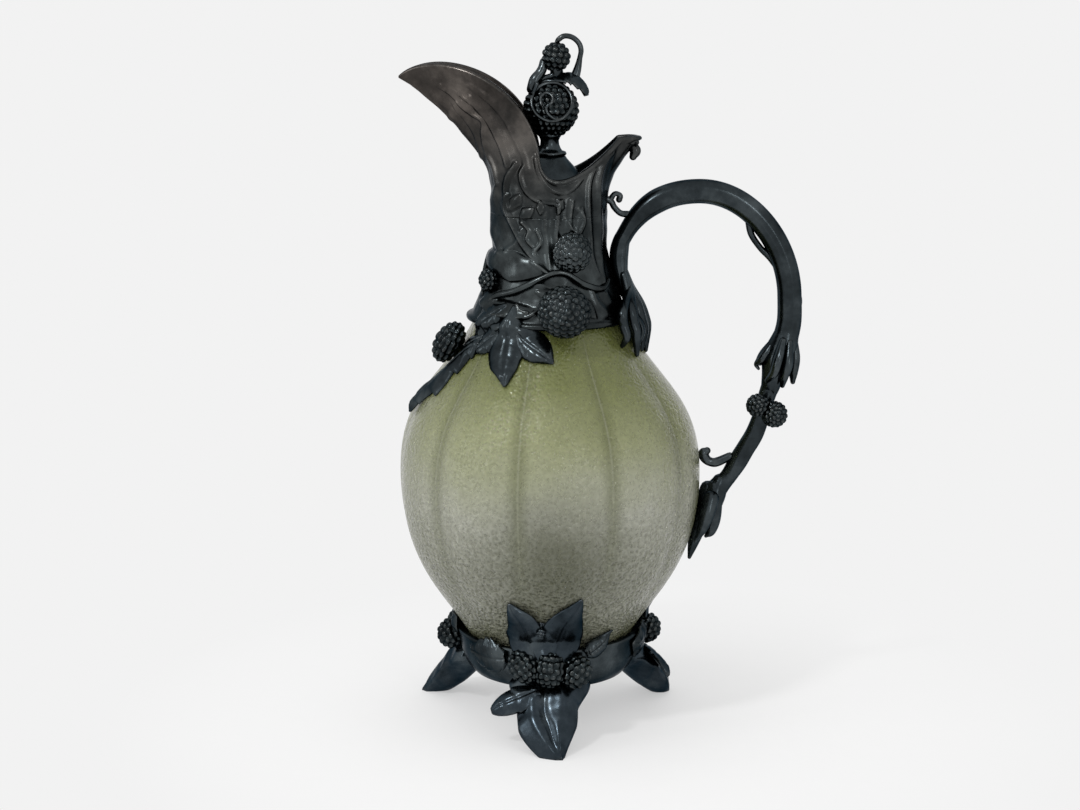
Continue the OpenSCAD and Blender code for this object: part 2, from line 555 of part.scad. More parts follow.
module foot(i) {
    color(metal) at_foot(i) difference() {
        skin([for (s = foot_stops) foot_ring(s)]);
        rotate_extrude() polygon(concat([[0, cup_low_z - 3], [cup_line[0].x + 0.1, cup_low_z - 3]],
            [for (p = cup_line) p + [0.1, 0]], [[0, cup_top_z]]));
        translate([cup_r, -50, -20]) cube([foot_reach, 100, 20]);
    }
}

// Two lobes of a leaf that stands up against the glass above each foot
module foot_leaf(i) {
    color(metal) at_foot(i) {
        skin_leaf(on_base([[3, 50, 7, 5], [5, 56, 11, 8], [7, 63.5, 10.8, 9.5], [9.5, 70, 7.8, 7],
            [12, 75.5, 4, 4], [14, 80.5, 0.8, 0.8]]));
        skin_leaf(on_base([[-9, 50, 5, 7], [-12, 56, 7.8, 10], [-13, 63, 8, 9.6], [-15, 68.5, 7, 7],
            [-17, 73.5, 4, 4], [-18.5, 77.5, 0.8, 0.8]]));
    }
}

module foot_side_leaves(i) {
    color(metal) at_foot(i) {
        skin_leaf(on_base([[-28, 43, 5, 4], [-33, 42.4, 9.6, 8.6], [-40, 42, 11.4, 10], [-48, 42.6, 9, 8],
            [-57, 44.6, 1, 1]]), crown = 2.6, gap = side_gap);
        skin_leaf(on_base([[22, 46, 3, 3], [26, 48, 6, 4.6], [32, 51.4, 5, 3.6], [39, 57, 0.8, 0.8]]),
            crown = 2.6, gap = side_gap);
    }
}

module foot_berries(i) {
    color(metal_light) at_foot(i)
        for (s = [[-14.4, 41.3], [-0.4, 40.7], [13.6, 39.7]])
            rotate([0, 0, s[0]]) translate([cup_r + 8.2 * base_k, 0, s[1] * base_k])
                rotate([0, -14, 0]) cell_berry(6.4 * base_k, 9.4 * base_k);
}

glass_body();
neck_sleeve();
spout();
lid_seat();
cup();
handle();
handle_stem();
handle_foot_leaf();
handle_curl();
handle_loop();
handle_tendril();
handle_berry_inner();
handle_berry_outer();
vine_front();
vine_left();
vine_branch();
shoulder_leaf_front();
shoulder_leaf_left();
shoulder_leaf_back();
shoulder_berry_front();
shoulder_berry_left();
neck_berry_front();
neck_berry_left();
lid_cone();
lid_skirt();
finial_stem();
finial_berry();
finial_twig();
finial_bud();
finial_loop();
finial_leaf();
finial_tendril();
for (i = [1:feet]) {
    foot(i);
    foot_leaf(i);
    foot_side_leaves(i);
    foot_berries(i);
}
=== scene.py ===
import math

import bmesh
import bpy
import numpy as np
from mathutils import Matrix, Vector, noise


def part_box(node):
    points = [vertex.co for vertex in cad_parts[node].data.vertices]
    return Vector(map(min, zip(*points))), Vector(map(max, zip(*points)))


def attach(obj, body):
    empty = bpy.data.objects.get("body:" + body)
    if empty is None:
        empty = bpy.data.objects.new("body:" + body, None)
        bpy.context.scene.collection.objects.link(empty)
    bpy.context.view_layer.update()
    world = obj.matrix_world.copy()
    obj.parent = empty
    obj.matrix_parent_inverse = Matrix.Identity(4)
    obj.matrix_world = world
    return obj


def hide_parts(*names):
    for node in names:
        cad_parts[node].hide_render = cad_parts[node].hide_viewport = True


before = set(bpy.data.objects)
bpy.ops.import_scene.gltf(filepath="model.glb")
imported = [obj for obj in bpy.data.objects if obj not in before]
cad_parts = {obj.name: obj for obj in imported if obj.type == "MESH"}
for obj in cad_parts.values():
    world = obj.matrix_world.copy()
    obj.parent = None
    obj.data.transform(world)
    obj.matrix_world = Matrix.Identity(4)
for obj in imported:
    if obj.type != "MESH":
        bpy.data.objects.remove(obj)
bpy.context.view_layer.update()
# The jug's own axis is the cup's middle. Shapes are in millimetres from that axis and the floor. The camera,
# the lamps and the materials are in metres
cup_low, cup_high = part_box("cup")
AXIS = (cup_low.x + cup_high.x) / 2
# Number of the glass's lobes and the azimuth of a groove between two of them, in degrees
LOBES, FIRST_GROOVE = 10, 6

# The photo's view: lens and sensor in millimetres, place, and degrees below level
LENS, SENSOR = 74.87, 36
CAMERA_PLACE = (AXIS - 0.00496, -1.150, 0.400)
CAMERA_PITCH = 11.45


# Camera and lamps
def camera():
    data = bpy.data.cameras.new("camera")
    data.lens, data.sensor_width, data.sensor_fit = LENS, SENSOR, "HORIZONTAL"
    cam = bpy.data.objects.new("camera", data)
    cam.location = CAMERA_PLACE
    cam.rotation_euler = (math.radians(90 - CAMERA_PITCH), 0, 0)
    bpy.context.scene.collection.objects.link(cam)
    bpy.context.scene.camera = cam


def lamp(name, place, target, size, power):
    data = bpy.data.lights.new(name, "AREA")
    data.shape, data.size, data.size_y = "RECTANGLE", size[0], size[1]
    data.energy = power
    obj = bpy.data.objects.new(name, data)
    obj.location = place
    obj.rotation_euler = (Vector(target) - Vector(place)).to_track_quat("-Z", "Y").to_euler()
    bpy.context.scene.collection.objects.link(obj)


camera()
bpy.context.scene.view_settings.view_transform = "Standard"


# Materials
class Shader:
    """A node tree under construction. What its functions return is a node's output."""

    def __init__(self, owner, output="ShaderNodeOutputMaterial"):
        owner.use_nodes = True
        self.tree = owner.node_tree
        self.tree.nodes.clear()
        self.out = self.tree.nodes.new(output)

    def add(self, kind, links=None, output=0, **values):
        node = self.tree.nodes.new(kind)
        for key, value in values.items():
            if hasattr(node, key):
                setattr(node, key, value)
            else:
                node.inputs[key.replace("_", " ")].default_value = value
        for key, source in (links or {}).items():
            self.tree.links.new(source, node.inputs[key])
        return node.outputs[output]

    def feed(self, socket, value):
        """Gives a socket a colour, a number or another node's output."""
        if isinstance(value, tuple):
            socket.default_value = (*value, 1)
        elif isinstance(value, (int, float)):
            socket.default_value = value
        else:
            self.tree.links.new(value, socket)

    def math(self, operation, *terms):
        node = self.tree.nodes.new("ShaderNodeMath")
        node.operation = operation
        for socket, term in zip(node.inputs, terms):
            self.feed(socket, term)
        return node.outputs[0]

    def mix(self, factor, a, b):
        node = self.tree.nodes.new("ShaderNodeMix")
        node.data_type = "RGBA"
        for i, value in ((0, factor), (6, a), (7, b)):
            self.feed(node.inputs[i], value)
        return node.outputs[2]

    def span(self, source, low, high, to_low=0.0, to_high=1.0):
        return self.add("ShaderNodeMapRange", {"Value": source}, From_Min=low, From_Max=high, To_Min=to_low,
                        To_Max=to_high)

    def ramp(self, source, stops):
        node = self.tree.nodes.new("ShaderNodeValToRGB")
        bar = node.color_ramp.elements
        bar[0].position, bar[0].color = stops[0][0], (*stops[0][1], 1)
        bar[1].position, bar[1].color = stops[-1][0], (*stops[-1][1], 1)
        for place, colour in stops[1:-1]:
            bar.new(place).color = (*colour, 1)
        self.tree.links.new(source, node.inputs["Fac"])
        return node.outputs["Color"]

    def distance(self, place, point=(0, 0, 0)):
        node = self.tree.nodes.new("ShaderNodeVectorMath")
        node.operation = "DISTANCE"
        self.tree.links.new(place, node.inputs[0])
        node.inputs[1].default_value = point
        return node.outputs["Value"]

    def axes(self, place):
        """The outputs X, Y and Z of a place."""
        node = self.tree.nodes.new("ShaderNodeSeparateXYZ")
        self.tree.links.new(place, node.inputs[0])
        return node.outputs

    def finish(self, source):
        self.tree.links.new(source, self.out.inputs["Surface"])


def new_material(name):
    """A material, its shader, and the shader's place on the jug."""
    mat = bpy.data.materials.new(name)
    s = Shader(mat)
    return mat, s, s.add("ShaderNodeTexCoord", output="Object")


def srgb(*colour):
    return tuple(((c / 255 + 0.055) / 1.055) ** 2.4 for c in colour)


# Where the cloudy patina has its dark, middle and light tone
PATINA = (0.34, 0.5, 0.68)


def metal_material(name, rough, tones, high=None):
    """Dark cast metal: cloudy patina, grain, painted shade that turns the hollows black, and ridges worn
    bright that are partly a painted highlight.

    high gives the three tones that it turns to up the spout: its brownish patina, lightened as a painted
    sheen towards the spout's tip.
    """
    mat, s, place = new_material(name)
    cloud = s.add("ShaderNodeTexNoise", {"Vector": place}, Scale=38.0, Detail=5.0, Roughness=0.62)
    fine = s.add("ShaderNodeTexNoise", {"Vector": place}, Scale=620.0, Detail=4.0, Roughness=0.6)
    pits = s.add("ShaderNodeTexVoronoi", {"Vector": place}, Scale=1100.0)
    colour = s.ramp(cloud, list(zip(PATINA, tones)))
    if high:
        # Painted sheen: the spout's brownish tone turns lighter up and out towards its tip
        axes = s.axes(place)
        up = s.math("ADD", axes["Z"], s.math("MULTIPLY", cloud, 0.05))
        left = s.math("MULTIPLY", axes["X"], -0.35)
        warm_and_sheen = s.span(s.math("ADD", up, left), 0.302, 0.372)
        colour = s.mix(warm_and_sheen, colour, s.ramp(cloud, list(zip(PATINA, high))))
    bend = s.add("ShaderNodeAttribute", output="Fac", attribute_name="wear_and_shade")
    # Painted shade: the hollows are darkened towards black
    colour = s.mix(s.span(bend, -0.1, -0.8, 0.0, 0.6), colour, srgb(12, 13, 14))
    # Ridges turn lighter where the fine noise allows: worn metal, and also a painted highlight
    rubbed_and_sheen = s.math("MULTIPLY", s.span(bend, 0.25, 0.95), s.span(fine, 0.35, 0.6))
    colour = s.mix(s.math("MULTIPLY", rubbed_and_sheen, 0.32), colour, srgb(128, 130, 128))
    dull = s.span(fine, 0.3, 0.7, rough - 0.06, rough + 0.08)
    grain = s.math("ADD", s.math("MULTIPLY", pits, 0.3), s.math("MULTIPLY_ADD", cloud, 0.8, fine))
    s.finish(s.add("ShaderNodeBsdfPrincipled", {
        "Base Color": colour, "Roughness": s.math("ADD", dull, s.math("MULTIPLY", rubbed_and_sheen, -0.07)),
        "Normal": s.add("ShaderNodeBump", {"Height": grain}, Strength=0.05, Distance=0.0004)},
        Metallic=1.0, Specular_Tint=(0.42, 0.44, 0.46, 1.0)))
    return mat


def glass_material():
    """Thick olive ice glass: a pebbled skin with small sparkles, half clear, deeper in tone near the neck."""
    mat, s, place = new_material("ice_glass")
    axes = s.axes(place)
    patch = s.add("ShaderNodeTexNoise", {"Vector": place}, Scale=26.0, Detail=4.0, Roughness=0.6)
    cells = s.add("ShaderNodeTexVoronoi", {"Vector": place}, feature="SMOOTH_F1", Scale=640.0)
    waves = s.add("ShaderNodeTexNoise", {"Vector": place}, Scale=420.0, Detail=3.0, Roughness=0.6)

    # Tone from the cup up to the collar, and painted shade that makes it darker and greener towards the
    # outline
    tall = s.math("ADD", s.span(axes["Z"], 0.03, 0.215), s.math("MULTIPLY_ADD", patch, 0.2, -0.1))
    colour = s.ramp(tall, [(0, srgb(148, 149, 132)), (0.22, srgb(172, 173, 160)), (0.5, srgb(202, 203, 190)),
                           (0.7, srgb(174, 178, 138)), (0.84, srgb(140, 146, 92)), (1, srgb(112, 119, 62))])
    edge = s.span(s.add("ShaderNodeLayerWeight", output="Facing", Blend=0.5), 0.3, 0.9, 0.0, 0.85)
    colour = s.mix(edge, colour, srgb(104, 107, 62))

    # Painted shade: a dim spot low on the front, where something dark shows in the glass
    near = s.math("ADD", s.distance(place, (AXIS + 0.001, -0.078, 0.098)), s.math("MULTIPLY", patch, 0.02))
    colour = s.mix(s.span(near, 0.02, 0.06, 0.75, 0.0), colour, srgb(92, 94, 74))

    # Painted shade in dark bands along the grooves, with a painted highlight as a pale line in each, above
    # the lowest part of the glass
    turn = s.math("ARCTAN2", axes["Y"], s.math("SUBTRACT", axes["X"], AXIS))
    wave = s.math("MULTIPLY_ADD", turn, LOBES / 2, -LOBES / 2 * math.radians(FIRST_GROOVE))
    lobe = s.math("ABSOLUTE", s.math("SINE", wave))
    middle = s.math("MULTIPLY", s.span(axes["Z"], 0.07, 0.13), s.span(axes["Z"], 0.215, 0.19))
    for start, end, tone in ((0.06, 0.42, srgb(104, 109, 66)), (0.0, 0.05, srgb(196, 198, 176))):
        colour = s.mix(s.math("MULTIPLY", s.span(lobe, start, end, 0.5, 0.0), middle), colour, tone)

    # Pebbles, stronger low on the body, with their dark specks painted as shade between them
    low = s.span(axes["Z"], 0.135, 0.09)
    speck = s.math("ADD", s.math("MULTIPLY", cells, 0.9), s.math("MULTIPLY", waves, 0.9))
    pebble_shade = s.math("MULTIPLY", s.span(speck, 0.5, 1.1, 0.5, 0.0), s.math("MULTIPLY_ADD", low, 1.1, 0.5))
    colour = s.mix(pebble_shade, colour, srgb(84, 86, 62))
    pebbles = s.math("MULTIPLY", speck, s.math("MULTIPLY_ADD", low, 0.7, 0.45))
    height = s.math("ADD", pebbles, s.math("MULTIPLY", patch, 0.8))
    bump = s.add("ShaderNodeBump", {"Height": height}, Strength=0.8, Distance=0.0014)
    s.finish(s.add("ShaderNodeBsdfPrincipled", {
        "Base Color": colour, "Normal": bump, "Coat Normal": bump,
        "Roughness": s.span(waves, 0.3, 0.7, 0.2, 0.42)}, Transmission_Weight=0.5, IOR=1.42, Coat_Weight=0.5,
        Coat_Roughness=0.02, Specular_Tint=(0.5, 0.52, 0.34, 1.0)))
    return mat


# The backdrop's colour, and how much light the floor gives back
PALE = srgb(242, 242, 242)
FLOOR_TONE = 0.93


def floor_material():
    """The floor keeps the jug's soft shadow near it and is of the backdrop's tone everywhere else."""
    mat, s, place = new_material("pale_floor")
    grain = s.add("ShaderNodeTexNoise", {"Vector": place}, Scale=60.0, Detail=3.0)
    tone = s.mix(grain, (FLOOR_TONE - 0.01,) * 3, (FLOOR_TONE + 0.01,) * 3)
    lit = s.add("ShaderNodeBsdfDiffuse", {"Color": tone})
    plain = s.add("ShaderNodeEmission", Color=(*PALE, 1), Strength=1.0)
    rays = s.tree.nodes.new("ShaderNodeLightPath").outputs
    seen = s.math("MAXIMUM", rays["Is Camera Ray"],
                  s.math("MAXIMUM", rays["Is Glossy Ray"], rays["Is Transmission Ray"]))
    share = s.math("MULTIPLY", seen, s.span(s.distance(place), 0.1, 0.26, 0.45, 1.0))
    s.finish(s.add("ShaderNodeMixShader", {0: share, 1: lit, 2: plain}))
    return mat


NECK = metal_material("dark_cast_metal", 0.24, [srgb(32, 36, 37), srgb(50, 54, 55), srgb(74, 80, 81)],
                      [srgb(42, 40, 38), srgb(66, 62, 59), srgb(100, 94, 89)])
METAL = metal_material("handle_metal", 0.22, [srgb(32, 36, 38), srgb(50, 56, 59), srgb(76, 83, 86)])
BLUE = metal_material("base_metal", 0.22, [srgb(34, 41, 46), srgb(52, 60, 66), srgb(80, 88, 92)])
BERRY = metal_material("berry_metal", 0.18, [srgb(26, 30, 32), srgb(42, 48, 50), srgb(66, 72, 74)])
GLASS = glass_material()


# Curves and skins
def cubic(p, t):
    """Points at t of the Bezier curve with the four control points p."""
    t = np.asarray(t, float)[..., None]
    p = [np.asarray(q, float) for q in p]
    return (1 - t) ** 3 * p[0] + 3 * (1 - t) ** 2 * t * p[1] + 3 * (1 - t) * t * t * p[2] + t ** 3 * p[3]


# Outside of the glass, as (radius, height)
GLASS_LOW = [(38.7, 29.7), (41.3, 61.3), (79, 72.1), (79, 132)]
GLASS_HIGH = [(79, 132), (79, 189.9), (35.6, 180.5), (24.5, 262)]
LINE = np.vstack([cubic(GLASS_LOW, np.linspace(0, 1, 60)), cubic(GLASS_HIGH, np.linspace(0, 1, 90))[1:],
                  [[24.5, 267.5]]])
# Outside of the cup and radius of its lip
CUP = np.array([(40.2, 25.5), (44, 30), (46.4, 35.5), (47.2, 40.5), (48.8, 48.5)])
CUP_LIP = 48.6
# Neck mount: lower edge, radius of its sleeve, top of the sleeve, and step out from the glass below it
COLLAR_Z, SLEEVE_R, SLEEVE_TOP, COLLAR_STEP = 213, 29.5, 268, 3.1
# Cement between glass and metal, and walls of the glass and the spout
CEMENT, GLASS_WALL, SPOUT_WALL = 0.25, 4, 2


def glass_r(z):
    return np.interp(z, LINE[:, 1], LINE[:, 0])


def sleeve_r(z):
    return np.maximum(SLEEVE_R, glass_r(z) + COLLAR_STEP)


def ease(t):
    t = np.clip(t, 0, 1)
    return t * t * (3 - 2 * t)


def skin_r(z):
    """Radius of what an ornament lies on: the cup, then the glass, then the neck mount."""
    z = np.asarray(z, float)
    cup = np.interp(z, CUP[:, 1], CUP[:, 0])
    glass = np.maximum(glass_r(z), np.where(z < 100, CUP_LIP, 0))
    upper = glass + (sleeve_r(np.maximum(z, COLLAR_Z)) + 0.8 - glass) * ease((z - COLLAR_Z + 4) / 7)
    return cup + (upper - cup) * ease((z - 47.5) / 2.5)


def skin(az, z, h):
    """Points at an azimuth and a height z, standing h out from what is there."""
    r = skin_r(z) + h
    a = np.radians(az)
    return np.stack([r * np.cos(a), r * np.sin(a), np.broadcast_to(np.asarray(z, float), r.shape)], -1)


def smooth(stops, n=8):
    """Catmull-Rom curve through the rows of stops, n samples for each span."""
    p = np.asarray(stops, float)
    q = np.vstack([2 * p[0] - p[1], p, 2 * p[-1] - p[-2]])
    out = []
    for a, b, c, d in zip(q, q[1:], q[2:], q[3:]):
        out += [b + 0.5 * t * (c - a + t * (2 * a - 5 * b + 4 * c - d + t * (3 * (b - c) + d - a)))
                for t in np.arange(n) / n]
    return np.array(out + [p[-1]])


def unit(v):
    v = np.asarray(v, float)
    return v / np.maximum(np.linalg.norm(v, axis=-1, keepdims=True), 1e-9)


def turned(points, az):
    """Points of a piece made for the direction +X, turned to an azimuth."""
    a = math.radians(az)
    p = np.asarray(points, float)
    return np.stack([p[..., 0] * math.cos(a) - p[..., 1] * math.sin(a),
                     p[..., 0] * math.sin(a) + p[..., 1] * math.cos(a), p[..., 2]], -1)


def ridges(flat, strokes):
    """Height of soft ridges at points of a plane. A stroke is (path, half width, height)."""
    flat = np.asarray(flat, float)
    shape = flat.shape[:-1]
    flat = flat.reshape(-1, 2)
    up, down = np.zeros(len(flat)), np.zeros(len(flat))
    for path, width, height in strokes:
        line = smooth(path, 5)
        near = np.full(len(flat), 1e9)
        for a, b in zip(line[:-1], line[1:]):
            d = b - a
            t = np.clip(((flat - a) @ d) / max(d @ d, 1e-9), 0, 1)
            near = np.minimum(near, ((flat - a - t[:, None] * d) ** 2).sum(1))
        bump = height * np.exp(-near / (1.25 * width) ** 2)
        up, down = np.maximum(up, bump), np.minimum(down, bump)
    return (up + down).reshape(shape)


def lobes(flat, shapes):
    """Height of smooth raised leaves. A shape is (x, z, long radius, short radius, angle, height)."""
    flat = np.asarray(flat, float)
    total = np.zeros(flat.shape[:-1])
    for x, z, long, short, angle, height in shapes:
        a = math.radians(angle)
        u = ((flat[..., 0] - x) * math.cos(a) + (flat[..., 1] - z) * math.sin(a)) / long
        v = ((flat[..., 1] - z) * math.cos(a) - (flat[..., 0] - x) * math.sin(a)) / short
        v = v / np.maximum(0.15, 1 - 0.55 * np.abs(u))
        total = np.maximum(total, height * np.clip(1 - u * u - v * v, 0, 1) ** 0.45)
    return total


def wear_and_shade(data):
    """Bend of the surface at each point, from -1 in a hollow to 1 on a ridge."""
    n = len(data.vertices)
    p, normal = np.empty(n * 3), np.empty(n * 3)
    data.vertices.foreach_get("co", p)
    data.vertices.foreach_get("normal", normal)
    p, normal = p.reshape(-1, 3) * 1000, normal.reshape(-1, 3)
    e = np.empty(len(data.edges) * 2, np.int32)
    data.edges.foreach_get("vertices", e)
    a, b = e.reshape(-1, 2).T
    size = ((p[a] - p[b]) ** 2).sum(1)
    count = np.bincount(a, minlength=n) + np.bincount(b, minlength=n) + 1e-9

    def around(v):
        return (np.bincount(a, v[b], n) + np.bincount(b, v[a], n)) / count
    mean = np.stack([around(p[:, k]) for k in range(3)], -1)
    square = (np.bincount(a, size, n) + np.bincount(b, size, n)) / count
    bend = -2 * ((mean - p) * normal).sum(1) / np.maximum(square, 0.01)
    for _ in range(2):
        bend = 0.5 * bend + 0.5 * around(bend)
    return np.tanh(1.6 * bend)


class Clay:
    """Collects closed skins and makes one object of them."""

    def __init__(self):
        self.points, self.faces, self.count = [], [], 0

    def rings(self, rings, closed=False):
        """Skin over rings of points, closed to a loop or with a fan over each end."""
        rings = np.asarray(rings, float)
        count, n = rings.shape[:2]
        pairs = [(i * n, (i + 1) % count * n) for i in range(count if closed else count - 1)]
        faces = [(a + j, a + (j + 1) % n, b + (j + 1) % n, b + j) for a, b in pairs for j in range(n)]
        points = rings.reshape(-1, 3)
        if not closed:
            points = np.vstack([points, rings[0].mean(0), rings[-1].mean(0)])
            faces += [(count * n, (j + 1) % n, j) for j in range(n)]
            faces += [(count * n + 1, (count - 1) * n + j, (count - 1) * n + (j + 1) % n) for j in range(n)]
        self.points.append(points)
        self.faces += [tuple(k + self.count for k in f) for f in faces]
        self.count += len(points)
        return self

    def tube(self, path, radius, n=16, flute=None, spans=6):
        """Round-ended tube. radius has a number or (in the side view, along y) for each stop."""
        radius = [(r, r) if np.isscalar(r) else r for r in radius]
        both = smooth(np.hstack([path, radius]), spans)
        mid, size = both[:, :3], np.maximum(both[:, 3:], 0.05)
        way = unit(np.gradient(mid, axis=0))
        side = unit(np.cross(way, (0, 1, 0)))
        top = np.cross(way, side)
        a = np.arange(n) * 2 * math.pi / n

        def ring(m, i, k=1.0):
            f = np.ones(n) if flute is None else flute(a, i / (len(mid) - 1))
            return m + k * f[:, None] * (size[i][0] * np.cos(a)[:, None] * side[i]
                                         + size[i][1] * np.sin(a)[:, None] * top[i])
        last = len(mid) - 1
        caps = [(math.sin(e), math.cos(e)) for e in np.radians((80, 55, 28))]
        rings = [ring(mid[0] - way[0] * min(size[0]) * s, 0, c) for s, c in caps]
        rings += [ring(mid[i], i) for i in range(len(mid))]
        rings += [ring(mid[last] + way[last] * min(size[last]) * s, last, c) for s, c in caps[::-1]]
        return self.rings(rings)

    def skin_tube(self, stops, r, h, n=12):
        """Tube with thin ends that lies on the jug through stops of [azimuth, height]."""
        fine = smooth(stops)
        k = np.linspace(0, 1, len(fine))
        size = r * (0.35 + 0.65 * np.minimum(1, np.minimum(k, 1 - k) / 0.15) ** 0.6)
        path = skin(fine[:, 0], fine[:, 1], size * 0.5 + h)
        out = unit(path * [1, 1, 0])
        way = unit(np.gradient(path, axis=0))
        side = unit(np.cross(way, out))
        top = np.cross(side, way)
        a = np.arange(n) * 2 * math.pi / n
        return self.rings(path[:, None] + size[:, None, None] * (
            np.cos(a)[None, :, None] * side[:, None] + np.sin(a)[None, :, None] * top[:, None]))

    def berry(self, centre, axis, r, h, drupelet, turn=0.0, narrow=0.0, fine=1.0):
        """Bramble berry: true round drupelets in rows on a core, its long axis along axis."""
        tilt = np.array(Vector(axis).normalized().to_track_quat("Z", "X").to_matrix())
        core, spots = r - drupelet * 0.8, []
        step = drupelet * 1.78
        rows = max(3, int(round(math.pi * core / (step * 0.87))))
        for i in range(rows + 1):
            e = -math.pi / 2 + math.pi * i / rows
            count = max(1, int(round(2 * math.pi * core * math.cos(e) / step)))
            for j in range(count):
                a = 2 * math.pi * (j + (i % 2) / 2) / count + turn + 0.35 * i
                spots.append((math.cos(e) * math.cos(a), math.cos(e) * math.sin(a), math.sin(e)))
        spots = np.array(spots)
        shake = [[noise.noise(Vector(s) * 9 + Vector((turn, k, 0))) for k in range(3)] for s in spots]
        spots = unit(spots + np.array(shake) * 0.5 * drupelet / r)
        nv = int(min(230, max(48, fine * 22 * r / drupelet)))
        nu = nv // 2
        e = np.linspace(-math.pi / 2 + 0.02, math.pi / 2 - 0.02, nu)
        a = np.arange(nv) * 2 * math.pi / nv
        u = np.stack([np.outer(np.cos(e), np.cos(a)), np.outer(np.cos(e), np.sin(a)),
                      np.outer(np.sin(e), np.ones(nv))], -1)
        near = (u.reshape(-1, 3) @ spots.T).max(1).reshape(nu, nv)
        b = core * near
        disc = b * b - (core * core - drupelet * drupelet)
        hit = np.maximum(np.where(disc > 0, b + np.sqrt(np.maximum(disc, 0)), 0), core + 0.25 * drupelet)
        p = u * hit[..., None]
        pinch = 1 - narrow * np.clip(-u[..., 2], 0, 1) ** 1.5
        p = p * np.stack([pinch, pinch, np.full(pinch.shape, h / r)], -1)
        return self.rings(p @ tilt.T + np.asarray(centre, float))

    def leaf(self, place, width, ns=44, crown=3.0, edge=0.8, teeth=0, bite=0.16, veins=5, vein=0.45):
        """Closed leaf, folded along its middle. place(s, w, h) gives points; width(s) is (left, right)."""
        t = np.linspace(-1, 1, 21)
        rings = []
        for s in np.linspace(0, 1, ns):
            left, right = width(s)
            saw = (s * teeth) % 1.0
            cut = 1 - (bite * (1 - saw) * min(1, 6 * s, 6 * (1 - s)) if teeth else 0)
            w = np.where(t < 0, t * left, t * right) * cut
            reach = min(1.0, max(left, right) / 5)
            high = edge + crown * reach * (1 - np.abs(t) ** 2.4) - 0.8 * reach * np.exp(-(t / 0.09) ** 2)
            phase = (s * veins * 1.15 - np.abs(t) * 0.55 * veins / 4) % 1.0
            rib = np.exp(-((phase - 0.5) / 0.1) ** 2) * np.minimum(1, np.abs(t) * 4) * (1 - np.abs(t)) ** 0.5
            high = high - vein * reach * rib
            rings.append(np.vstack([place(s, w, high), place(s, w[::-1], np.zeros(len(t)))]))
        return self.rings(rings)

    def skin_leaf(self, stops, h=0.0, lean=0.0, **options):
        """Leaf on the jug. Stops are [azimuth, height, width left, width right] as seen from its root."""
        fine = smooth(stops, 10)
        k = np.linspace(0, 1, len(fine))

        def at(s):
            return np.array([np.interp(s, k, fine[:, c]) for c in range(4)])

        def place(s, w, high):
            here, a, b = at(s), at(max(0, s - 0.03)), at(min(1, s + 0.03))
            r = float(skin_r(here[1]))
            way = unit([math.radians(b[0] - a[0]) * r, b[1] - a[1]])
            return skin(here[0] - np.degrees(w * way[1] / r), here[1] + w * way[0], high + h + lean * (1 - s))
        return self.leaf(place, lambda s: tuple(np.maximum(at(s)[2:], 0.15)), **options)

    def make(self, name, body, nodes, material, slot):
        data = bpy.data.meshes.new(name)
        points = np.vstack(self.points) / 1000 + [AXIS, 0, 0]
        data.from_pydata(points.tolist(), [], self.faces)
        mesh = bmesh.new()
        mesh.from_mesh(data)
        bmesh.ops.recalc_face_normals(mesh, faces=mesh.faces)
        mesh.to_mesh(data)
        mesh.free()
        data.polygons.foreach_set("use_smooth", [True] * len(data.polygons))
        data.update()
        # The bend feeds painted shade in the hollows and, partly, a painted highlight on the ridges
        data.attributes.new("wear_and_shade", "FLOAT", "POINT").data.foreach_set("value", wear_and_shade(data).astype(np.float32))
        data.materials.append(material)
        obj = bpy.data.objects.new(name, data)
        bpy.context.scene.collection.objects.link(obj)
        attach(obj, body)
        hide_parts(*nodes)


# Glass: heights of its underside and its inner floor, and depth of the grooves
GLASS_UNDER, GLASS_FLOOR, GROOVE = 29.7, 36.7, 1.8


def groove(z):
    """Depth of the grooves at a height. They fade out towards the cup and the collar."""
    return GROOVE * np.clip((z - 32.7) / 25, 0, 1) * np.clip((211 - z) / 30, 0, 1)


def glass_body():
    n = 300
    az = np.radians(np.linspace(0, 360, n, endpoint=False))
    crest = np.abs(np.sin(LOBES / 2 * (az - math.radians(FIRST_GROOVE))))
    circle = np.stack([np.cos(az), np.sin(az)], -1)

    def ring(r, z):
        return np.hstack([circle * np.reshape(r, (-1, 1)), np.full((n, 1), z)])
    outer = [ring(r - 0.06 - groove(z) * (1 - crest) ** 1.3, z) for r, z in LINE]
    inner = [ring(r - GLASS_WALL, z) for r, z in LINE if z > GLASS_FLOOR + 0.8]
    under = [ring(r, GLASS_UNDER) for r in (0.7, 19)]
    floor = [ring(r, GLASS_FLOOR) for r in (34, 15, 0.8)]
    Clay().rings(under + outer + inner[::-1] + floor).make(
        "ice_glass_body", "jug", ["glass_body"], GLASS, "glass")


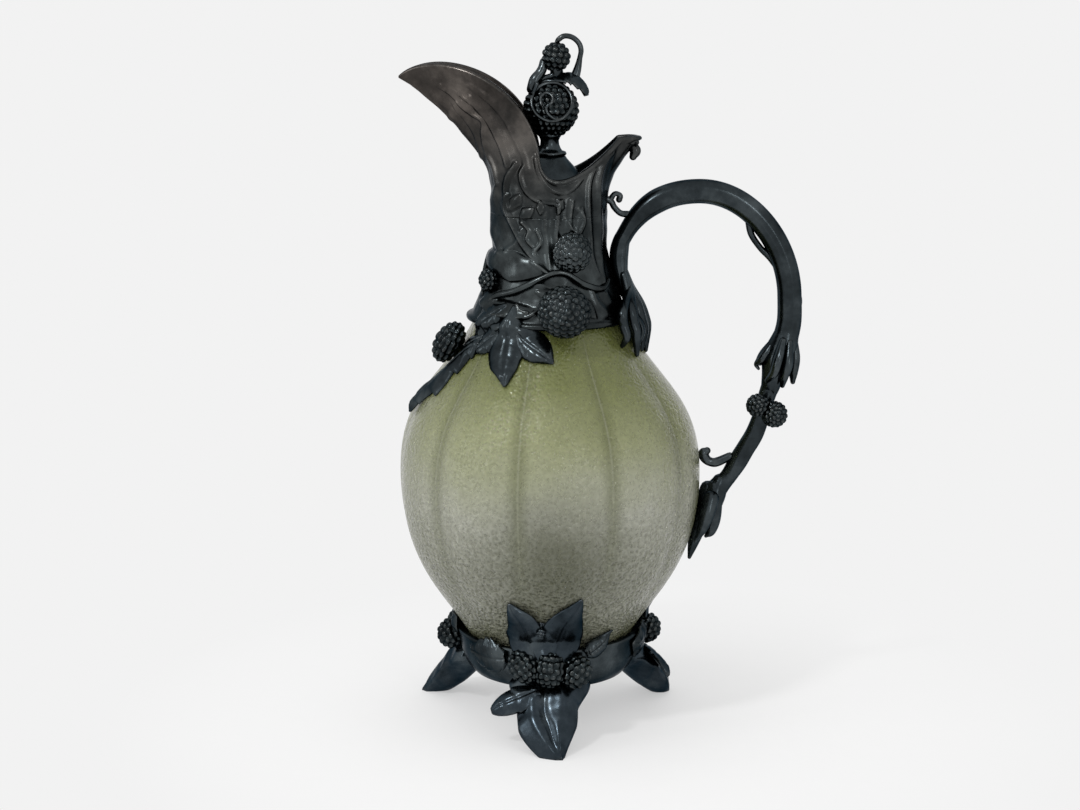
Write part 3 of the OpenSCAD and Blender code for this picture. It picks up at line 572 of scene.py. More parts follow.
# Neck mount. Its relief is drawn on the jug's side view, as x and z, and is the same on both sides.
# A stroke is (path, half width, height), and a leaf (x, z, long radius, short radius, angle, height)
STROKES = [
    ([(-72, 339.5), (-59, 339.5), (-46.6, 336.6), (-36.9, 331.8), (-28.2, 324.7), (-21.7, 317.2),
      (-17.3, 308.5), (-13, 299.7), (-11.3, 293)], 1.5, 1.0),
    ([(-62, 335), (-56.4, 333), (-50, 329.6), (-45.1, 324.7), (-39.1, 319.3), (-33.1, 315.5), (-33.2, 308.5),
      (-31.6, 299.7), (-28.3, 292.1), (-26.5, 284)], 1.0, 1.0),
    ([(-54, 333), (-43, 328), (-35, 321), (-28.5, 312), (-24, 302), (-21.5, 294)], 1.1, 0.8),
    ([(-58, 329), (-52, 323), (-46, 315), (-41, 306), (-38, 297), (-36, 286), (-34.5, 276)], 2.2, 0.9),
    ([(-50, 326), (-43, 317), (-37, 307), (-34.5, 296)], 1.0, 0.7),
    ([(-6.4, 298), (-4.7, 290), (0.1, 283.4), (6.7, 281.2), (12.1, 284), (15.9, 290)], 1.4, 1.2),
    ([(-27, 282), (-30, 270), (-29, 258), (-25, 250)], 1.2, 0.8),
    ([(-14, 262), (-17, 255), (-22, 251)], 0.9, 0.8),
    ([(-17.2, 294.7), (-21.4, 287.7), (-22.2, 280.1), (-20.5, 272.4)], 1.0, 1.0),
    ([(-12, 294.8), (-14.3, 290), (-12.9, 283.4), (-8.6, 278.5), (-3.1, 276.4), (3, 275.5)], 1.1, 1.0),
    ([(-21.6, 279.1), (-22.2, 272.6), (-20, 267.1), (-16.7, 260.5), (-12.9, 253.9), (-7.5, 247.3),
      (-0.9, 241.3)], 1.1, 1.4),
    ([(4.5, 276.9), (4, 267.1), (3.4, 259.4), (4.5, 256.1)], 0.9, 0.9),
    ([(11, 276.9), (10, 266), (12.7, 260.5)], 1.0, 0.9),
    ([(31, 300), (26.6, 294), (24.4, 285), (24.9, 269.4), (25, 247.3), (26.7, 235.1)], 1.2, 1.1),
    ([(22, 292), (19.6, 284), (19.2, 274.5), (20.4, 259.2), (21, 248.2), (24.9, 238.2)], 1.0, 0.8),
    ([(-2.2, 276), (-2.3, 263.9), (-1.4, 253), (-0.4, 243.1)], 1.3, 0.7),
    ([(-6.4, 262), (-4.4, 256.3), (-7.5, 251.3), (-6.4, 247.5), (-3.1, 243.1)], 0.8, 0.9),
    ([(-14, 266), (-10.5, 262), (-11.5, 257.5), (-8.6, 254)], 0.8, 0.8),
    ([(14, 273), (17, 267), (15, 260)], 0.9, 0.6),
    ([(-19.5, 219.1), (-12.9, 219.5), (-7.5, 222)], 1.1, 1.4),
    ([(-34, 224), (-30, 221), (-25, 220), (-20, 221)], 1.2, 0.9),
    ([(28, 229), (31, 224), (36, 219)], 1.2, 0.9),
    ([(21, 232), (24, 225), (30, 219)], 1.1, 0.8),
    ([(-7, 236), (2, 233), (9, 229)], 1.0, 0.6),
]
LEAVES = [(-19, 243.6, 19, 8, -7, 2.0), (-17, 276, 5, 3.2, 60, 1.2), (-11.5, 270.6, 5, 3.4, 40, 1.5),
          (-4.6, 273.6, 4, 2.4, 90, 1.2), (5, 274, 4.4, 2.4, 70, 1.2), (8, 262, 8, 3.4, 95, 1.1),
          (15, 266, 8, 3, 80, 0.9), (-28, 222.5, 8, 3.6, 30, 1.3), (18, 224, 9, 3.6, -50, 1.2),
          (0, 229, 8, 3, -25, 1.0), (-22, 221, 13, 6, 12, 2.2),
          (-30, 226, 7, 4, 50, 1.4), (-44, 322, 12, 4, 45, 0.7)]


def relief(points):
    """Height of the cast relief and its slight roughness at points of the neck mount."""
    flat = points[..., [0, 2]]
    rough = np.array([noise.noise(Vector(p) * 0.16) for p in points.reshape(-1, 3)])
    rough = rough.reshape(points.shape[:-1])
    return 1.5 * ridges(flat, STROKES) + 1.25 * lobes(flat, LEAVES) + 0.35 * rough


def revolve(profile, n=128, change=None):
    """Rings of a profile of (radius, height), moved out by what change(rings) gives."""
    a = np.arange(n) * 2 * math.pi / n
    circle = np.stack([np.cos(a), np.sin(a), 0 * a], -1)
    rings = np.array([circle * r + [0, 0, z] for r, z in profile])
    return rings if change is None else rings + change(rings)[..., None] * circle


def neck_sleeve():
    roll_r, roll_top = 1.9, COLLAR_Z + 3.4
    zs = np.linspace(roll_top, SLEEVE_TOP, 110)
    roll = [(glass_r(COLLAR_Z) + 2.3 + roll_r * math.cos(t), COLLAR_Z + roll_r + roll_r * math.sin(t))
            for t in np.linspace(math.radians(35), math.radians(-150), 14)]
    outer = [(float(sleeve_r(z)), z) for z in zs[::-1]]
    inner = [(float(glass_r(z)) + CEMENT, z) for z in np.linspace(COLLAR_Z + 1, SLEEVE_TOP, 30)]

    def change(rings):
        z = rings[..., 2]
        out = np.arange(len(rings))[:, None] < len(outer)
        return np.where(out, relief(rings) * ease((z - roll_top) / 3), 0)
    Clay().rings(revolve(outer + roll + inner, 320, change), closed=True).make(
        "neck_mount", "jug", ["neck_sleeve"], NECK, "metal")


# Half of the spout's rim, from its tip to the handle: two Bezier curves and an end, and the azimuths where
# each of them starts and stops
RIM_FRONT = [(-75.8, 0, 337), (-58, 12, 352.5), (-8.6, 26.5, 336), (-5, 28.2, 295.5)]
RIM_SIDE = [RIM_FRONT[-1], (-2.5, 29, 279.5), (14, 28, 283.5), (36, 9, 305.5)]
RIM_END = [RIM_SIDE[-1], (41, 7, 306), (44.5, 4, 306), (46, 0, 306)]
RIM_TURNS = [180, 102, 18, 0]


def rim_points():
    """Points round the rim, and the azimuth that the wall below each of them rises at."""
    parts = [cubic(RIM_FRONT, np.linspace(0, 1, 140)), cubic(RIM_SIDE, np.linspace(0, 1, 90)),
             smooth(RIM_END, 5)]
    turns = [np.linspace(a, b, len(part)) for part, a, b in zip(parts, RIM_TURNS, RIM_TURNS[1:])]
    half = np.vstack([parts[0], parts[1][1:], parts[2][1:]])
    az = np.concatenate([turns[0], turns[1][1:], turns[2][1:]])
    return np.vstack([half, half[-2:0:-1] * [1, -1, 1]]), np.concatenate([az, -az[-2:0:-1]])


def spout():
    points, az = rim_points()
    ts = np.linspace(0, 0.96, 90)
    walls, lips, inners, outs = [], [], [], []
    for q, a in zip(points, np.radians(az)):
        out = np.array([math.cos(a), math.sin(a), 0])
        inward = -unit([12 * out[0], q[1], 0])
        rise = q[2] - SLEEVE_TOP

        def wall(r, tip, t):
            """Goes straight up from the sleeve and leans out only near the rim."""
            b = np.array([r * out[0], r * out[1], SLEEVE_TOP])
            lean = 0.06 * (tip - b)
            c = np.array([b[0] + lean[0], b[1] + lean[1], SLEEVE_TOP + 0.5 * rise])
            return cubic([b, b + [0, 0, 0.364 * rise], c, tip], t)
        walls.append(wall(SLEEVE_R, q, ts))
        inners.append(wall(SLEEVE_R - SPOUT_WALL, q + inward * SPOUT_WALL, ts[::-3]))
        lips.append([q - inward * (2 * math.cos(e) - 0.9) + [0, 0, 1.5 * math.sin(e)]
                     for e in np.radians([-20, 15, 50, 90, 130, 165, 200])])
        outs.append(out)
    walls, outs = np.array(walls), np.array(outs)
    walls = walls + (relief(walls) * ease((1 - ts) / 0.08))[..., None] * outs[:, None]
    clay = Clay()
    clay.rings([np.vstack(parts) for parts in zip(walls, np.array(lips), np.array(inners))], closed=True)
    for y in (-3.4, 3.4):
        clay.tube([(38.5, y * 1.4, 304.2), (42, y, 305), (44, y * 0.8, 304)], [1.6, 2.6, 1.6], n=14)
    clay.tube([(42.6, 0, 302), (43.6, 0, 299.4), (42.6, 0, 296.6)], [2.4, 3, 2])
    clay.make("spout_shell", "jug", ["spout"], NECK, "metal")


def lid_seat():
    profile = [(21.8, 268.2), (21.8, 275.8), (22.6, 276.9), (26, 276.9), (27.6, 276.2), (27.8, 270),
               (27.6, 268.2)]
    Clay().rings(revolve(profile), closed=True).make("lid_seat_ring", "jug", ["lid_seat"], METAL, "metal")


# Lid. Its profiles are (radius, height above the underside of its rim)
LID_Z = 277.2
CONE = [(0.1, 20), (7.4, 20), (8.2, 19.6), (9, 18.4), (16.4, 10.2), (23.4, 2.6), (24.6, 1.6), (25, 0.8),
        (24.6, 0), (19.4, 0), (19.4, 1.4), (21.6, 1.6), (7, 16.6), (0.1, 17.1)]
SKIRT = [(21.4, -0.1), (21.4, -7.6), (20.6, -8), (19.4, -7.6), (19.4, -0.1)]
FINIAL_FOOT = [(0.1, 20), (8.2, 20.1), (8.7, 21), (8.2, 22), (6.4, 22.6), (5.6, 23.8), (4.9, 25.6),
               (4.7, 27.6), (5.4, 29.4), (6.8, 31), (0.1, 32)]
# Middle of the large berry on the lid, in the side view, and its outer radius
BERRY_X, BERRY_Z, BERRY_R = 0.6, 320, 15


def lid_turning(profile, n=128):
    return revolve([(r, LID_Z + h) for r, h in profile], n)


def lid():
    clay = Clay()
    clay.rings(lid_turning(CONE))
    clay.rings(lid_turning(SKIRT), closed=True)
    clay.make("lid_shell", "lid", ["lid_cone", "lid_skirt"], METAL, "metal")
    Clay().rings(lid_turning(FINIAL_FOOT, 64)).make("finial_foot", "lid", ["finial_stem"], METAL, "metal")


def finial():
    Clay().berry((BERRY_X, 0, BERRY_Z), (0.03, 0, 1), 14.2, 14.8, 1.8, narrow=0.25).make(
        "finial_large_berry", "lid", ["finial_berry"], BERRY, "berry_metal")
    Clay().berry((3.2, 0, 346.8), (0.12, 0, 1), 7.3, 7.5, 1.75, narrow=0.1, fine=1.3).make(
        "finial_bud_berry", "lid", ["finial_bud"], BERRY, "berry_metal")
    loop = [(3, 0, 353.6), (4.4, 0, 355.6), (7.3, 0, 357.4), (11.3, 0, 356.8), (14.6, 0, 354),
            (15.8, 0, 350.4), (15.2, 0, 346.4), (14.2, 0, 341.6), (13, 0, 337.6)]
    Clay().tube(loop, [0.8] + [1.35] * (len(loop) - 3) + [1.9, 2.4], n=12).make(
        "finial_wire", "lid", ["finial_loop"], METAL, "metal")
    clay = Clay()
    clay.tube([(-9.4, -3, 331), (-7.6, -2.5, 335.4), (-5, -1.5, 338.8), (-3.6, -1, 341.6), (-3, 0, 344.5)],
              [2.4, 2.9, 2.6, 2.4, 2.2], n=12)
    clay.tube([(-8, 3, 331), (-3, 2, 334.6), (4, 0, 335), (9, 0, 336)], [(2, 3), (2, 5), (2, 5), (1.6, 3)])
    clay.tube([(-4, 0, 333), (-3.2, -0.5, 336), (1.4, -0.5, 337.6), (3.4, 0, 340.5), (3.4, 0, 343)],
              [2, 1.6, 1.7, 2.4, 2.6], n=12)
    clay.tube([(2, 1, 333), (3.4, 1, 337), (3.4, 0, 341)], [4.4, 3.6, 3.2], n=12)
    clay.make("finial_stems", "lid", ["finial_twig"], METAL, "metal")


def finial_leaf():
    """Leaf that arches over the large berry."""
    path = smooth([(1, 0, 336.4), (6.3, 0, 338), (11, 0, 338.2), (15, 0, 336), (18.2, 0, 331.8),
                   (19.2, 0, 327.6)])
    way = unit(np.gradient(path, axis=0))
    k = np.linspace(0, 1, len(path))

    def place(s, w, h):
        p = np.array([np.interp(s, k, path[:, c]) for c in range(3)])
        d = unit([np.interp(s, k, way[:, c]) for c in range(3)])
        normal = unit(np.array([-d[2], 0, d[0]]))
        return p + np.outer(w, [0, 1, 0]) + np.outer(h - 0.2 * np.abs(w) ** 1.35 - 1, normal)
    Clay().leaf(place, lambda s: (1.2 + 8.4 * math.sin(math.pi * min(1, s * 0.86 + 0.1)) ** 0.8,) * 2, ns=34,
                crown=1.4, edge=1.0, teeth=4, bite=0.22).make(
        "finial_curled_leaf", "lid", ["finial_leaf"], METAL, "metal")


def on_berry(x, z):
    """Point on the front of the large berry."""
    return (x, -math.sqrt(max(0, BERRY_R ** 2 - (x - BERRY_X) ** 2 - (z - BERRY_Z) ** 2)) - 0.7, z)


def finial_ring():
    """Wire ring and inner curl on the front of the large berry."""
    ring = [on_berry(1 + 10.2 * math.cos(a), 325 + 9.3 * math.sin(a))
            for a in np.radians(np.arange(160, -210, -16))]
    curl = [on_berry(x, z) for x, z in ((-4.4, 324), (-4.4, 327.6), (-1.8, 329.6), (1.2, 328), (1, 325),
                                        (-1.8, 322.6), (-1.2, 319.6), (2, 317), (5, 316.4))]
    clay = Clay()
    clay.tube([(-6.4, -9, 334)] + ring, [0.8] + [0.95] * (len(ring) - 1) + [0.8], n=10, spans=4)
    clay.tube(curl, [1.1] + [0.8] * (len(curl) - 2) + [0.7], n=10)
    clay.make("finial_ring", "lid", ["finial_tendril"], METAL, "metal")


# Handle
def both_sides(paths):
    """Each path twice: mirrored to -y, and as it is."""
    return [[(x, side * y, z) for x, y, z in path] for path in paths for side in (-1, 1)]


def handle_bar():
    rise = [(36.9, 0, 253), (42, 0, 263.5), (51.5, 0, 279), (77, 0, 279)]
    fall = [(77, 0, 279), (102, 0, 279), (123, 0, 253), (124, 0, 225)]
    foot = [(47, 0, 214), (42.6, 0, 221), (39.2, 0, 228), (37, 0, 235), (35.8, 0, 242), (35.9, 0, 248)]
    path = np.vstack([foot, cubic(rise, np.linspace(0, 1, 12)), cubic(fall, np.linspace(0, 1, 14))[1:],
                      [(124.2, 0, 212), (122.4, 0, 202)]])
    size = [(3.6, 8.6), (3.4, 8.2), (3.4, 7.8), (3.8, 7.2), (4.7, 6.8), (4.9, 6.4), (4.5, 6.2), (4.4, 6.2),
            (4.5, 6.2), (4.8, 6.2), (5.2, 6.3), (5.6, 6.3), (6, 6.4)]
    size += [(6.3, 6.4)] * 18 + [(6.4, 6.4), (6.6, 6.6)]

    def flute(a, k):
        lines = sum(np.exp(-((a - at) / wide) ** 2) for at, wide in ((4.3, 0.16), (5.4, 0.16), (1.6, 0.2)))
        return 1 + 0.015 * np.cos(3 * a + 7 * k) - 0.07 * lines * ease(k / 0.1)
    clay = Clay()
    clay.tube(path, size, n=40, spans=5, flute=flute)
    # Roots on the shoulder, and the sheet that they spread from
    for turn, low, fat in ((-36, 203, 2.2), (-25, 197.6, 2.9), (-13, 198.6, 3.2), (-2, 196.6, 3.4),
                           (9, 199.6, 3), (20, 203, 2.6)):
        lower = [(45.6, 220.6), (48.4 - 0.06 * abs(turn), 213.5), (49.6 - 0.04 * abs(turn), 208),
                 (float(glass_r(low)) + 0.6, low)]
        upper = [(38, 0.1 * turn, 238), (40.8, 0.22 * turn, 229)]
        clay.tube(upper + list(turned([(r, 0, z) for r, z in lower], turn)),
                  [2.4, fat, fat + 0.3, fat + 0.3, fat - 0.1, 1.2])
    clay.tube([(47.4, -1, 219), (48.4, -1, 214.6), (49, -1, 210.6)], [1.8, 3, 2])
    clay.tube([(46.4, -6, 203), (47.2, -5, 209), (44.6, -3, 216), (40.6, -2, 226), (38, -1, 236)],
              [(2, 13), (2.8, 14.5), (2.8, 13), (3, 9.6), (3, 7.6)], n=32)
    # Bump on the bow, and the flower cup below it with its petals
    clay.tube([(128, 0, 228), (128.6, 0, 222), (128.4, 0, 215)], [1.4, 2.2, 1.4], n=14)
    clay.tube([(122.8, 0, 204), (120.8, 0, 197), (118.4, 0, 190), (116.6, 0, 183), (115, 0, 176)],
              [6.7, 8, 7.8, 6, 4.8], n=28,
              flute=lambda a, k: 1 + 0.05 * np.cos(6 * a) * math.sin(math.pi * k))
    petals = [[(117, 0, 201.6), (112.4, 0, 194.6), (109.6, 0, 190.6), (107.6, 0, 188.6), (108.8, 0, 186.4)],
              [(127.2, 0, 200), (127.4, 0, 192), (127, 0, 185), (126.8, 0, 179.4)]]
    petals += both_sides([[(120.5, 6, 202), (118, 8.6, 193), (116, 8.6, 186), (112.8, 7, 181.4)],
                          [(124, 5, 201), (123, 7.6, 191), (121.4, 7, 184), (120.8, 6, 178.6)]])
    for petal in petals:
        clay.tube(petal, [(2, 3), (3, 5.2), (2.5, 4.4), (1.3, 1.4), (0.8, 0.8)][:len(petal)], n=14)
    clay.make("handle_bar", "jug", ["handle"], METAL, "metal")


def handle_stem():
    stem = [(115, 0, 177), (112.6, 0, 169), (111.2, 0, 163), (107.4, 0, 152), (102.6, 0, 143.5),
            (98.6, 0, 136.5), (94.8, 0, 130), (91, 0, 125), (87.4, 0, 119.8)]
    clay = Clay()
    clay.tube(stem, [4.6, 4.5, 4.6, 4.9, 4.8, 4.9, 4.4, 4.7, 5.2], n=24,
              flute=lambda a, k: 1 + 0.03 * np.cos(4 * a + 9 * k))
    clay.tube([(110.8, -3.6, 166), (109.8, -7, 168.8)], [1.6, 1.3], n=10)
    clay.tube([(111, -3.4, 166), (115, -6, 164)], [1.6, 1.3], n=10)
    clay.make("handle_lower_stem", "jug", ["handle_stem"], METAL, "metal")


def handle_foot():
    clay = Clay()
    lobes_down = [[(86.6, -1, 123), (86.4, -1.6, 115), (86, -2, 106), (84.8, -2, 99.6), (82.6, -2, 97)],
                  [(83.4, 1, 122), (80.8, 1, 112), (78.4, 1, 101), (76, 1, 92), (74.2, 1, 84.6)]]
    for path in lobes_down + both_sides([[(84.4, 6, 118), (82.4, 9, 111), (80, 9.6, 103), (76.6, 8, 96)]]):
        clay.tube(path, [(4.2, 5), (4.6, 6), (4.2, 5.4), (2.8, 3.4), (1, 1)][-len(path):], n=18)
    clay.tube([(89.6, 0, 126), (87.4, 0, 121), (85, 0, 114)], [(4.2, 4.6), (6, 7), (6, 8)], n=24)
    clay.make("handle_foot", "jug", ["handle_foot_leaf"], METAL, "metal")


def handle_tendrils():
    Clay().tube([(94.6, 0, 139.6), (88, 0, 136.6), (84.6, 0, 136.6), (81.9, 0, 138.4), (80.9, 0, 141.2),
                 (82.6, 0, 142.6)], [2.2, 2.5, 2.4, 2.6, 2.9, 2], n=14).make(
        "handle_curl_tendril", "jug", ["handle_curl"], METAL, "metal")
    Clay().tube([(101.4, 0, 267), (102.4, 0, 263), (103.8, 0, 256.6), (108.6, 0, 249.6), (113.4, 0, 245),
                 (117, 0, 240)], [1.6, 1.9, 1.7, 1.6, 1.8, 1.6], n=14).make(
        "handle_inner_loop", "jug", ["handle_loop"], METAL, "metal")
    clay = Clay()
    clay.tube([(28.8, 0, 275), (31.6, 0, 273.4), (33.2, 0, 270.6), (36.4, 0, 267.6), (40.4, 0, 267)],
              [1.9, 1.7, 1.6, 1.6, 1.8], n=14)
    clay.tube([(31, 0, 274.4), (33.4, 0, 277.6), (36, 0, 276.6), (35.6, 0, 274.6)], [1.6, 1.3, 1.5, 1.7],
              n=12)
    clay.make("handle_top_tendril", "jug", ["handle_tendril"], METAL, "metal")


def handle_berries():
    for name, at, axis, r in (("inner", (107.8, -9.5, 168.8), (-0.1, -1, 0.1), 6),
                              ("outer", (116.6, -9, 164), (0.2, -1, 0.05), 6.8)):
        Clay().berry(at, axis, r, r, 1.35, r, fine=1.1).make(
            name + "_pair_berry", "jug", ["handle_berry_" + name], BERRY, "berry_metal")


# Brambles. Stops on the neck are (azimuth, height above the collar, and a leaf's widths left and right)
VINES = [("front", 1.7, [(214, 12), (222, 15.5), (241, 19), (261, 25), (274, 28), (285, 27.5), (300, 22),
                         (318, 19), (334, 23)]),
         ("left", 1.3, [(200, 14), (190, 22), (178, 30), (165, 34), (150, 31), (132, 27), (112, 24), (90, 23),
                        (60, 25), (28, 27)]),
         ("branch", 1.3, [(243, 13), (247, 9.6), (255, 8.5)])]
# Cast berries: azimuth, height, radius, half length, drupelet, step out, lean up of that step, lean of the
# berry's long axis, and turn
CAST_BERRIES = [("shoulder_berry_front", 279, 220, 13.4, 9.2, 1.9, 7.2, 28, 28, 5.58),
                ("neck_berry_front", 291, 251, 10.2, 5.4, 1.7, 1.6, 0, 0, 5.82),
                ("neck_berry_left", 209, 235.5, 5.6, 4.8, 1.4, 1.8, 0, 0, 4.18),
                ("shoulder_berry_left", 194, 199, 7.4, 11.2, 1.5, 6.9, 33, 123, 2.0)]


def neck_stops(stops):
    return [(a, COLLAR_Z + z, *rest) for a, z, *rest in stops]


def vines():
    for name, r, stops in VINES:
        Clay().skin_tube(neck_stops(stops), r, -0.3).make(
            name + "_vine", "jug", ["vine_" + name], NECK, "metal")


def bramble_leaves():
    clay = Clay()
    clay.skin_leaf(neck_stops([(243, 12, 1.5, 1.5), (242, 7, 3.4, 4), (241.5, 1.6, 7, 8),
                               (241.5, -4.6, 9.4, 9), (242, -9.5, 11, 9.8),
                               (243, -14.6, 9, 9), (245, -19.4, 5.6, 6),
                               (247, -26, 0.8, 0.8)]), crown=4.4, vein=0.3)
    clay.skin_leaf(neck_stops([(246, 1, 3, 3), (252, -3.4, 6.4, 6), (259, -7, 7.4, 7.4), (266, -10.6, 5.4, 6),
                               (272, -15, 0.6, 0.6)]), crown=3.6, vein=0.3)
    clay.skin_leaf(neck_stops([(240, 3, 3, 3), (233, -1.4, 6.4, 7), (227, -5, 7, 8), (222, -9, 5.6, 6),
                               (217, -13, 0.6, 0.6)]), crown=3.2, teeth=3, bite=0.2, vein=0.3)
    clay.skin_leaf(neck_stops([(236, 12, 1.4, 1.4), (229, 8, 5, 5), (221, 4, 7, 7), (213, -1.5, 5.6, 6),
                               (207, -6, 0.6, 0.6)]), crown=2.6, teeth=3, bite=0.2)
    clay.make("front_bramble_leaf", "jug", ["shoulder_leaf_front"], METAL, "metal")
    clay = Clay()
    clay.skin_leaf(neck_stops([(219, -8.6, 2.4, 3), (214, -9.8, 5, 6), (208, -13.5, 3.5, 8.6),
                               (202, -20, 1.5, 10), (197, -28, 2.4, 12.4), (192, -34.5, 7, 8),
                               (188, -41, 5, 6), (185.5, -47.5, 1, 1.2)]),
                   crown=3.4, teeth=5, bite=0.34, vein=0.7)
    clay.skin_leaf(neck_stops([(220, -4, 2, 2), (213, -7.4, 4, 4.4), (206, -11, 5, 5), (200, -13, 0.6, 0.6)]),
                   crown=2.8, teeth=3, bite=0.3)
    clay.make("left_bramble_leaf", "jug", ["shoulder_leaf_left"], METAL, "metal")
    clay = Clay()
    clay.skin_leaf(neck_stops([(84, 0, 2, 2), (86, -6, 9, 8), (88, -12, 14, 12), (90, -18, 11, 16),
                               (92, -24, 9, 8), (95, -31, 1.2, 1.2)]), crown=3.4, teeth=5, bite=0.22)
    clay.make("back_bramble_leaf", "jug", ["shoulder_leaf_back"], METAL, "metal")


def heading(az, lean):
    """Unit vector at an azimuth, leaning up from level."""
    return turned([[math.cos(math.radians(lean)), 0, math.sin(math.radians(lean))]], az)[0]


def cast_berries():
    for name, az, z, r, h, drupelet, out, lean, tip, turn in CAST_BERRIES:
        Clay().berry(skin(az, z, 0) + out * heading(az, lean), heading(az, tip), r, h, drupelet, turn).make(
            name + "_cast", "jug", [name], BERRY, "berry_metal")


# Base. A foot's sections are (x, y left and right, height of its back, its edge and its keel)
FOOT = [(36, -22, 22, 40, 27, 25), (46.5, -20, 20, 37, 25.5, 14), (53.5, -18, 15.5, 31, 20.5, 7.5),
        (57.5, -17, 14.5, 27, 18.5, 4.5), (61, -16.5, 14.2, 22, 13, 2), (65, -15.5, 12.5, 17.5, 9.5, -0.5),
        (70, -10.5, 9.5, 11.5, 4, -3), (74.5, -3.5, 7.2, 6, -1, -4), (77, 3, 6.6, 1.8, -2, -2.5)]
# Folds of a foot as it is seen from outside: across it and up
FOLDS = [([(-2, 36), (-3.4, 22), (0.2, 12.5), (5, 2)], 1.7, -1.7), ([(-9, 30), (-9, 18), (-2, 6)], 4.2, 1.9),
         ([(7.6, 33), (8, 24), (6, 12), (6.5, 4)], 3.8, 1.9)]


def foot(az):
    """Rings of the foot at an azimuth."""
    rings = []
    t = np.linspace(-1, 1, 65)
    for x, left, right, high, edge, keel in smooth(FOOT, 12)[6:]:
        mid, half = (left + right) / 2, max(0.4, (right - left) / 2)
        lip = min(edge + 2.4, high)
        top = lip + (high - lip) * (1 - np.abs(t) ** 2.4) ** 0.8
        under = np.minimum(edge + (keel - edge) * (1 - np.abs(t) ** 1.5), lip - 0.6)
        y = mid + half * np.sign(t) * np.abs(t) ** 0.9
        top = np.maximum(top, 0.5)
        push = ridges(np.stack([y, top], -1), FOLDS) * min(1, half / 6) * (1 - np.abs(t) ** 4)
        front = np.stack([x + 0.55 * push * (x > 46), y, np.maximum(0.4, top + 0.6 * push)], -1)
        below = np.stack([np.full(len(t), x), y[::-1] * 0.99, np.maximum(0.05, under[::-1])], -1)
        rings.append(turned(np.vstack([front, below]), az))
    return rings


def fringe(s, w, h, az):
    """The leaf that curls out on one side of a foot."""
    spine = [(54, -5, 29), (56.6, -13, 26.6), (57.6, -22, 23.4), (56.4, -30, 19)]
    mid = cubic(spine, s)
    rise = unit(cubic(spine, min(1, s + 0.02)) - cubic(spine, s - 0.02))
    normal = unit(np.array((0.72, -0.1, 0.69)))
    side = unit(np.cross(rise, normal))
    return turned(mid + np.outer(w, side) + np.outer(h - 1.2, normal), az)


def base_cup():
    outer = smooth([(40.4, 25.8), (44, 30), (46.3, 35.5), (47.2, 40.5), (48.6, 48)], 6)
    inner = [(float(glass_r(z)) + CEMENT, z) for z in np.linspace(48.2, 30.2, 12)]
    under, floor = [(0.2, 25.6), (30, 25.6)], [(38, 29.5), (0.2, 29.5)]
    Clay().rings(revolve(under + [tuple(p) for p in outer] + inner + floor, 160)).make(
        "base_cup", "jug", ["cup"], METAL, "metal")


def leaf_foot(i, o):
    def width(s):
        return (0.6 + 7 * math.sin(math.pi * min(1, s * 0.93 + 0.06)) ** 0.7,) * 2
    clay = Clay()
    clay.rings(foot(o))
    clay.leaf(lambda s, w, h: fringe(s, w, h, o), width, ns=36, crown=2.4, edge=1.6, teeth=2, bite=0.14,
              veins=3)
    clay.make(f"leaf_foot_{i}", "jug", [f"foot_{i}"], BLUE, "metal")


def foot_stops(o, stops):
    """Stops with their azimuths counted from the foot's own, o."""
    return [(o + a, *rest) for a, *rest in stops]


def upright_leaf(i, o):
    right = [(2, 44, 9, 9), (3, 49, 9.4, 8), (5, 56, 11.4, 9), (7, 63.5, 10.8, 9.5), (9.5, 70, 7.8, 7),
             (12, 75.5, 4, 4), (14, 80.5, 0.8, 0.8)]
    left = [(-7, 44, 8, 8), (-9, 49, 7.4, 9), (-12, 56, 9, 10.4), (-13, 63, 8, 9.6), (-15, 68.5, 7, 7),
            (-17, 73.5, 4, 4), (-18.5, 77.5, 0.8, 0.8)]
    middle = [(-3, 46, 6, 6), (-3.4, 56, 8, 8), (-3.6, 62, 6.4, 6.4), (-3.6, 66, 2, 2)]
    clay = Clay()
    for stops in (right, left):
        clay.skin_leaf(foot_stops(o, stops), lean=4.5, crown=3, veins=4, vein=0.3)
    clay.skin_leaf(foot_stops(o, middle), lean=3.5, crown=1.4, vein=0.2)
    clay.berry(skin(o - 4.5, 61, 4.6), turned([[1, 0, 0.1]], o)[0], 2.5, 2.1, 0.9)
    clay.make(f"upright_leaf_{i}", "jug", [f"foot_leaf_{i}"], BLUE, "metal")


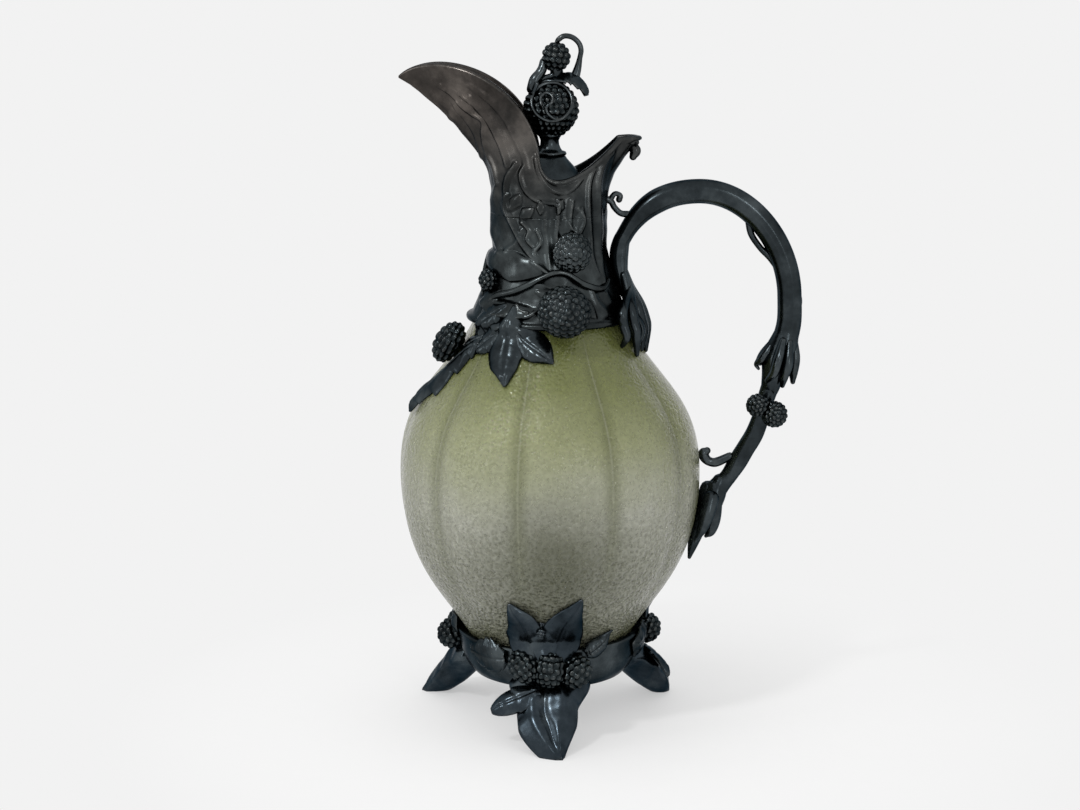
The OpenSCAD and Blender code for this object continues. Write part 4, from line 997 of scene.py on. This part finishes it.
def side_leaves(i, o):
    left = [(-27, 43, 4, 3), (-33, 42.4, 9.4, 8), (-40, 42, 11.2, 9.4), (-48, 42.6, 8.6, 7.6),
            (-57, 44.6, 0.8, 0.8)]
    right = [(22, 46, 3, 3), (26, 48, 5.8, 4.6), (32, 51.4, 5, 3.6), (39, 57, 0.6, 0.6)]
    clay = Clay()
    clay.skin_leaf(foot_stops(o, left), h=0.4, crown=2.6, teeth=5, bite=0.18)
    clay.skin_leaf(foot_stops(o, right), h=0.4, crown=2.6)
    clay.make(f"side_leaves_{i}", "jug", [f"foot_side_leaves_{i}"], METAL, "metal")


def berry_cluster(i, o):
    clay = Clay()
    for turn, z, r, h, lean in ((-14, 41.6, 7.8, 9.2, -0.9), (0, 40.4, 8.4, 9.6, 0.12),
                                (14.4, 38.6, 7.8, 9, 0.75)):
        centre = turned([[54.6, 0, z]], o + turn)[0]
        clay.berry(centre, turned([[-0.2, lean, 1]], o + turn)[0], r, h, 1.75, turn + i)
    clay.make(f"berry_cluster_{i}", "jug", [f"foot_berries_{i}"], BERRY, "berry_metal")


def studio():
    floor = bpy.data.meshes.new("floor")
    floor.from_pydata([(-3, -3, 0), (3, -3, 0), (3, 3, 0), (-3, 3, 0)], [], [(0, 1, 2, 3)])
    obj = bpy.data.objects.new("floor", floor)
    floor.materials.append(floor_material())
    bpy.context.scene.collection.objects.link(obj)
    world = bpy.data.worlds.new("studio")
    bpy.context.scene.world = world
    s = Shader(world, "ShaderNodeOutputWorld")
    s.finish(s.add("ShaderNodeBackground", Color=(*PALE, 1), Strength=1.0))
    lamp("key", (-0.7, -0.9, 1.3), (AXIS, 0, 0.18), (0.16, 0.16), 6.5)
    lamp("side", (-1.3, -0.5, 0.5), (AXIS, 0, 0.2), (0.35, 0.6), 2)
    lamp("strip", (0.55, -1.2, 0.6), (AXIS, 0, 0.2), (0.07, 0.7), 1.6)


glass_body()
neck_sleeve()
spout()
lid_seat()
lid()
finial()
finial_leaf()
finial_ring()
handle_bar()
handle_stem()
handle_foot()
handle_tendrils()
handle_berries()
vines()
bramble_leaves()
cast_berries()
base_cup()
for number, azimuth in ((1, 270), (2, 390), (3, 510)):
    leaf_foot(number, azimuth)
    upright_leaf(number, azimuth)
    side_leaves(number, azimuth)
    berry_cluster(number, azimuth)
studio()
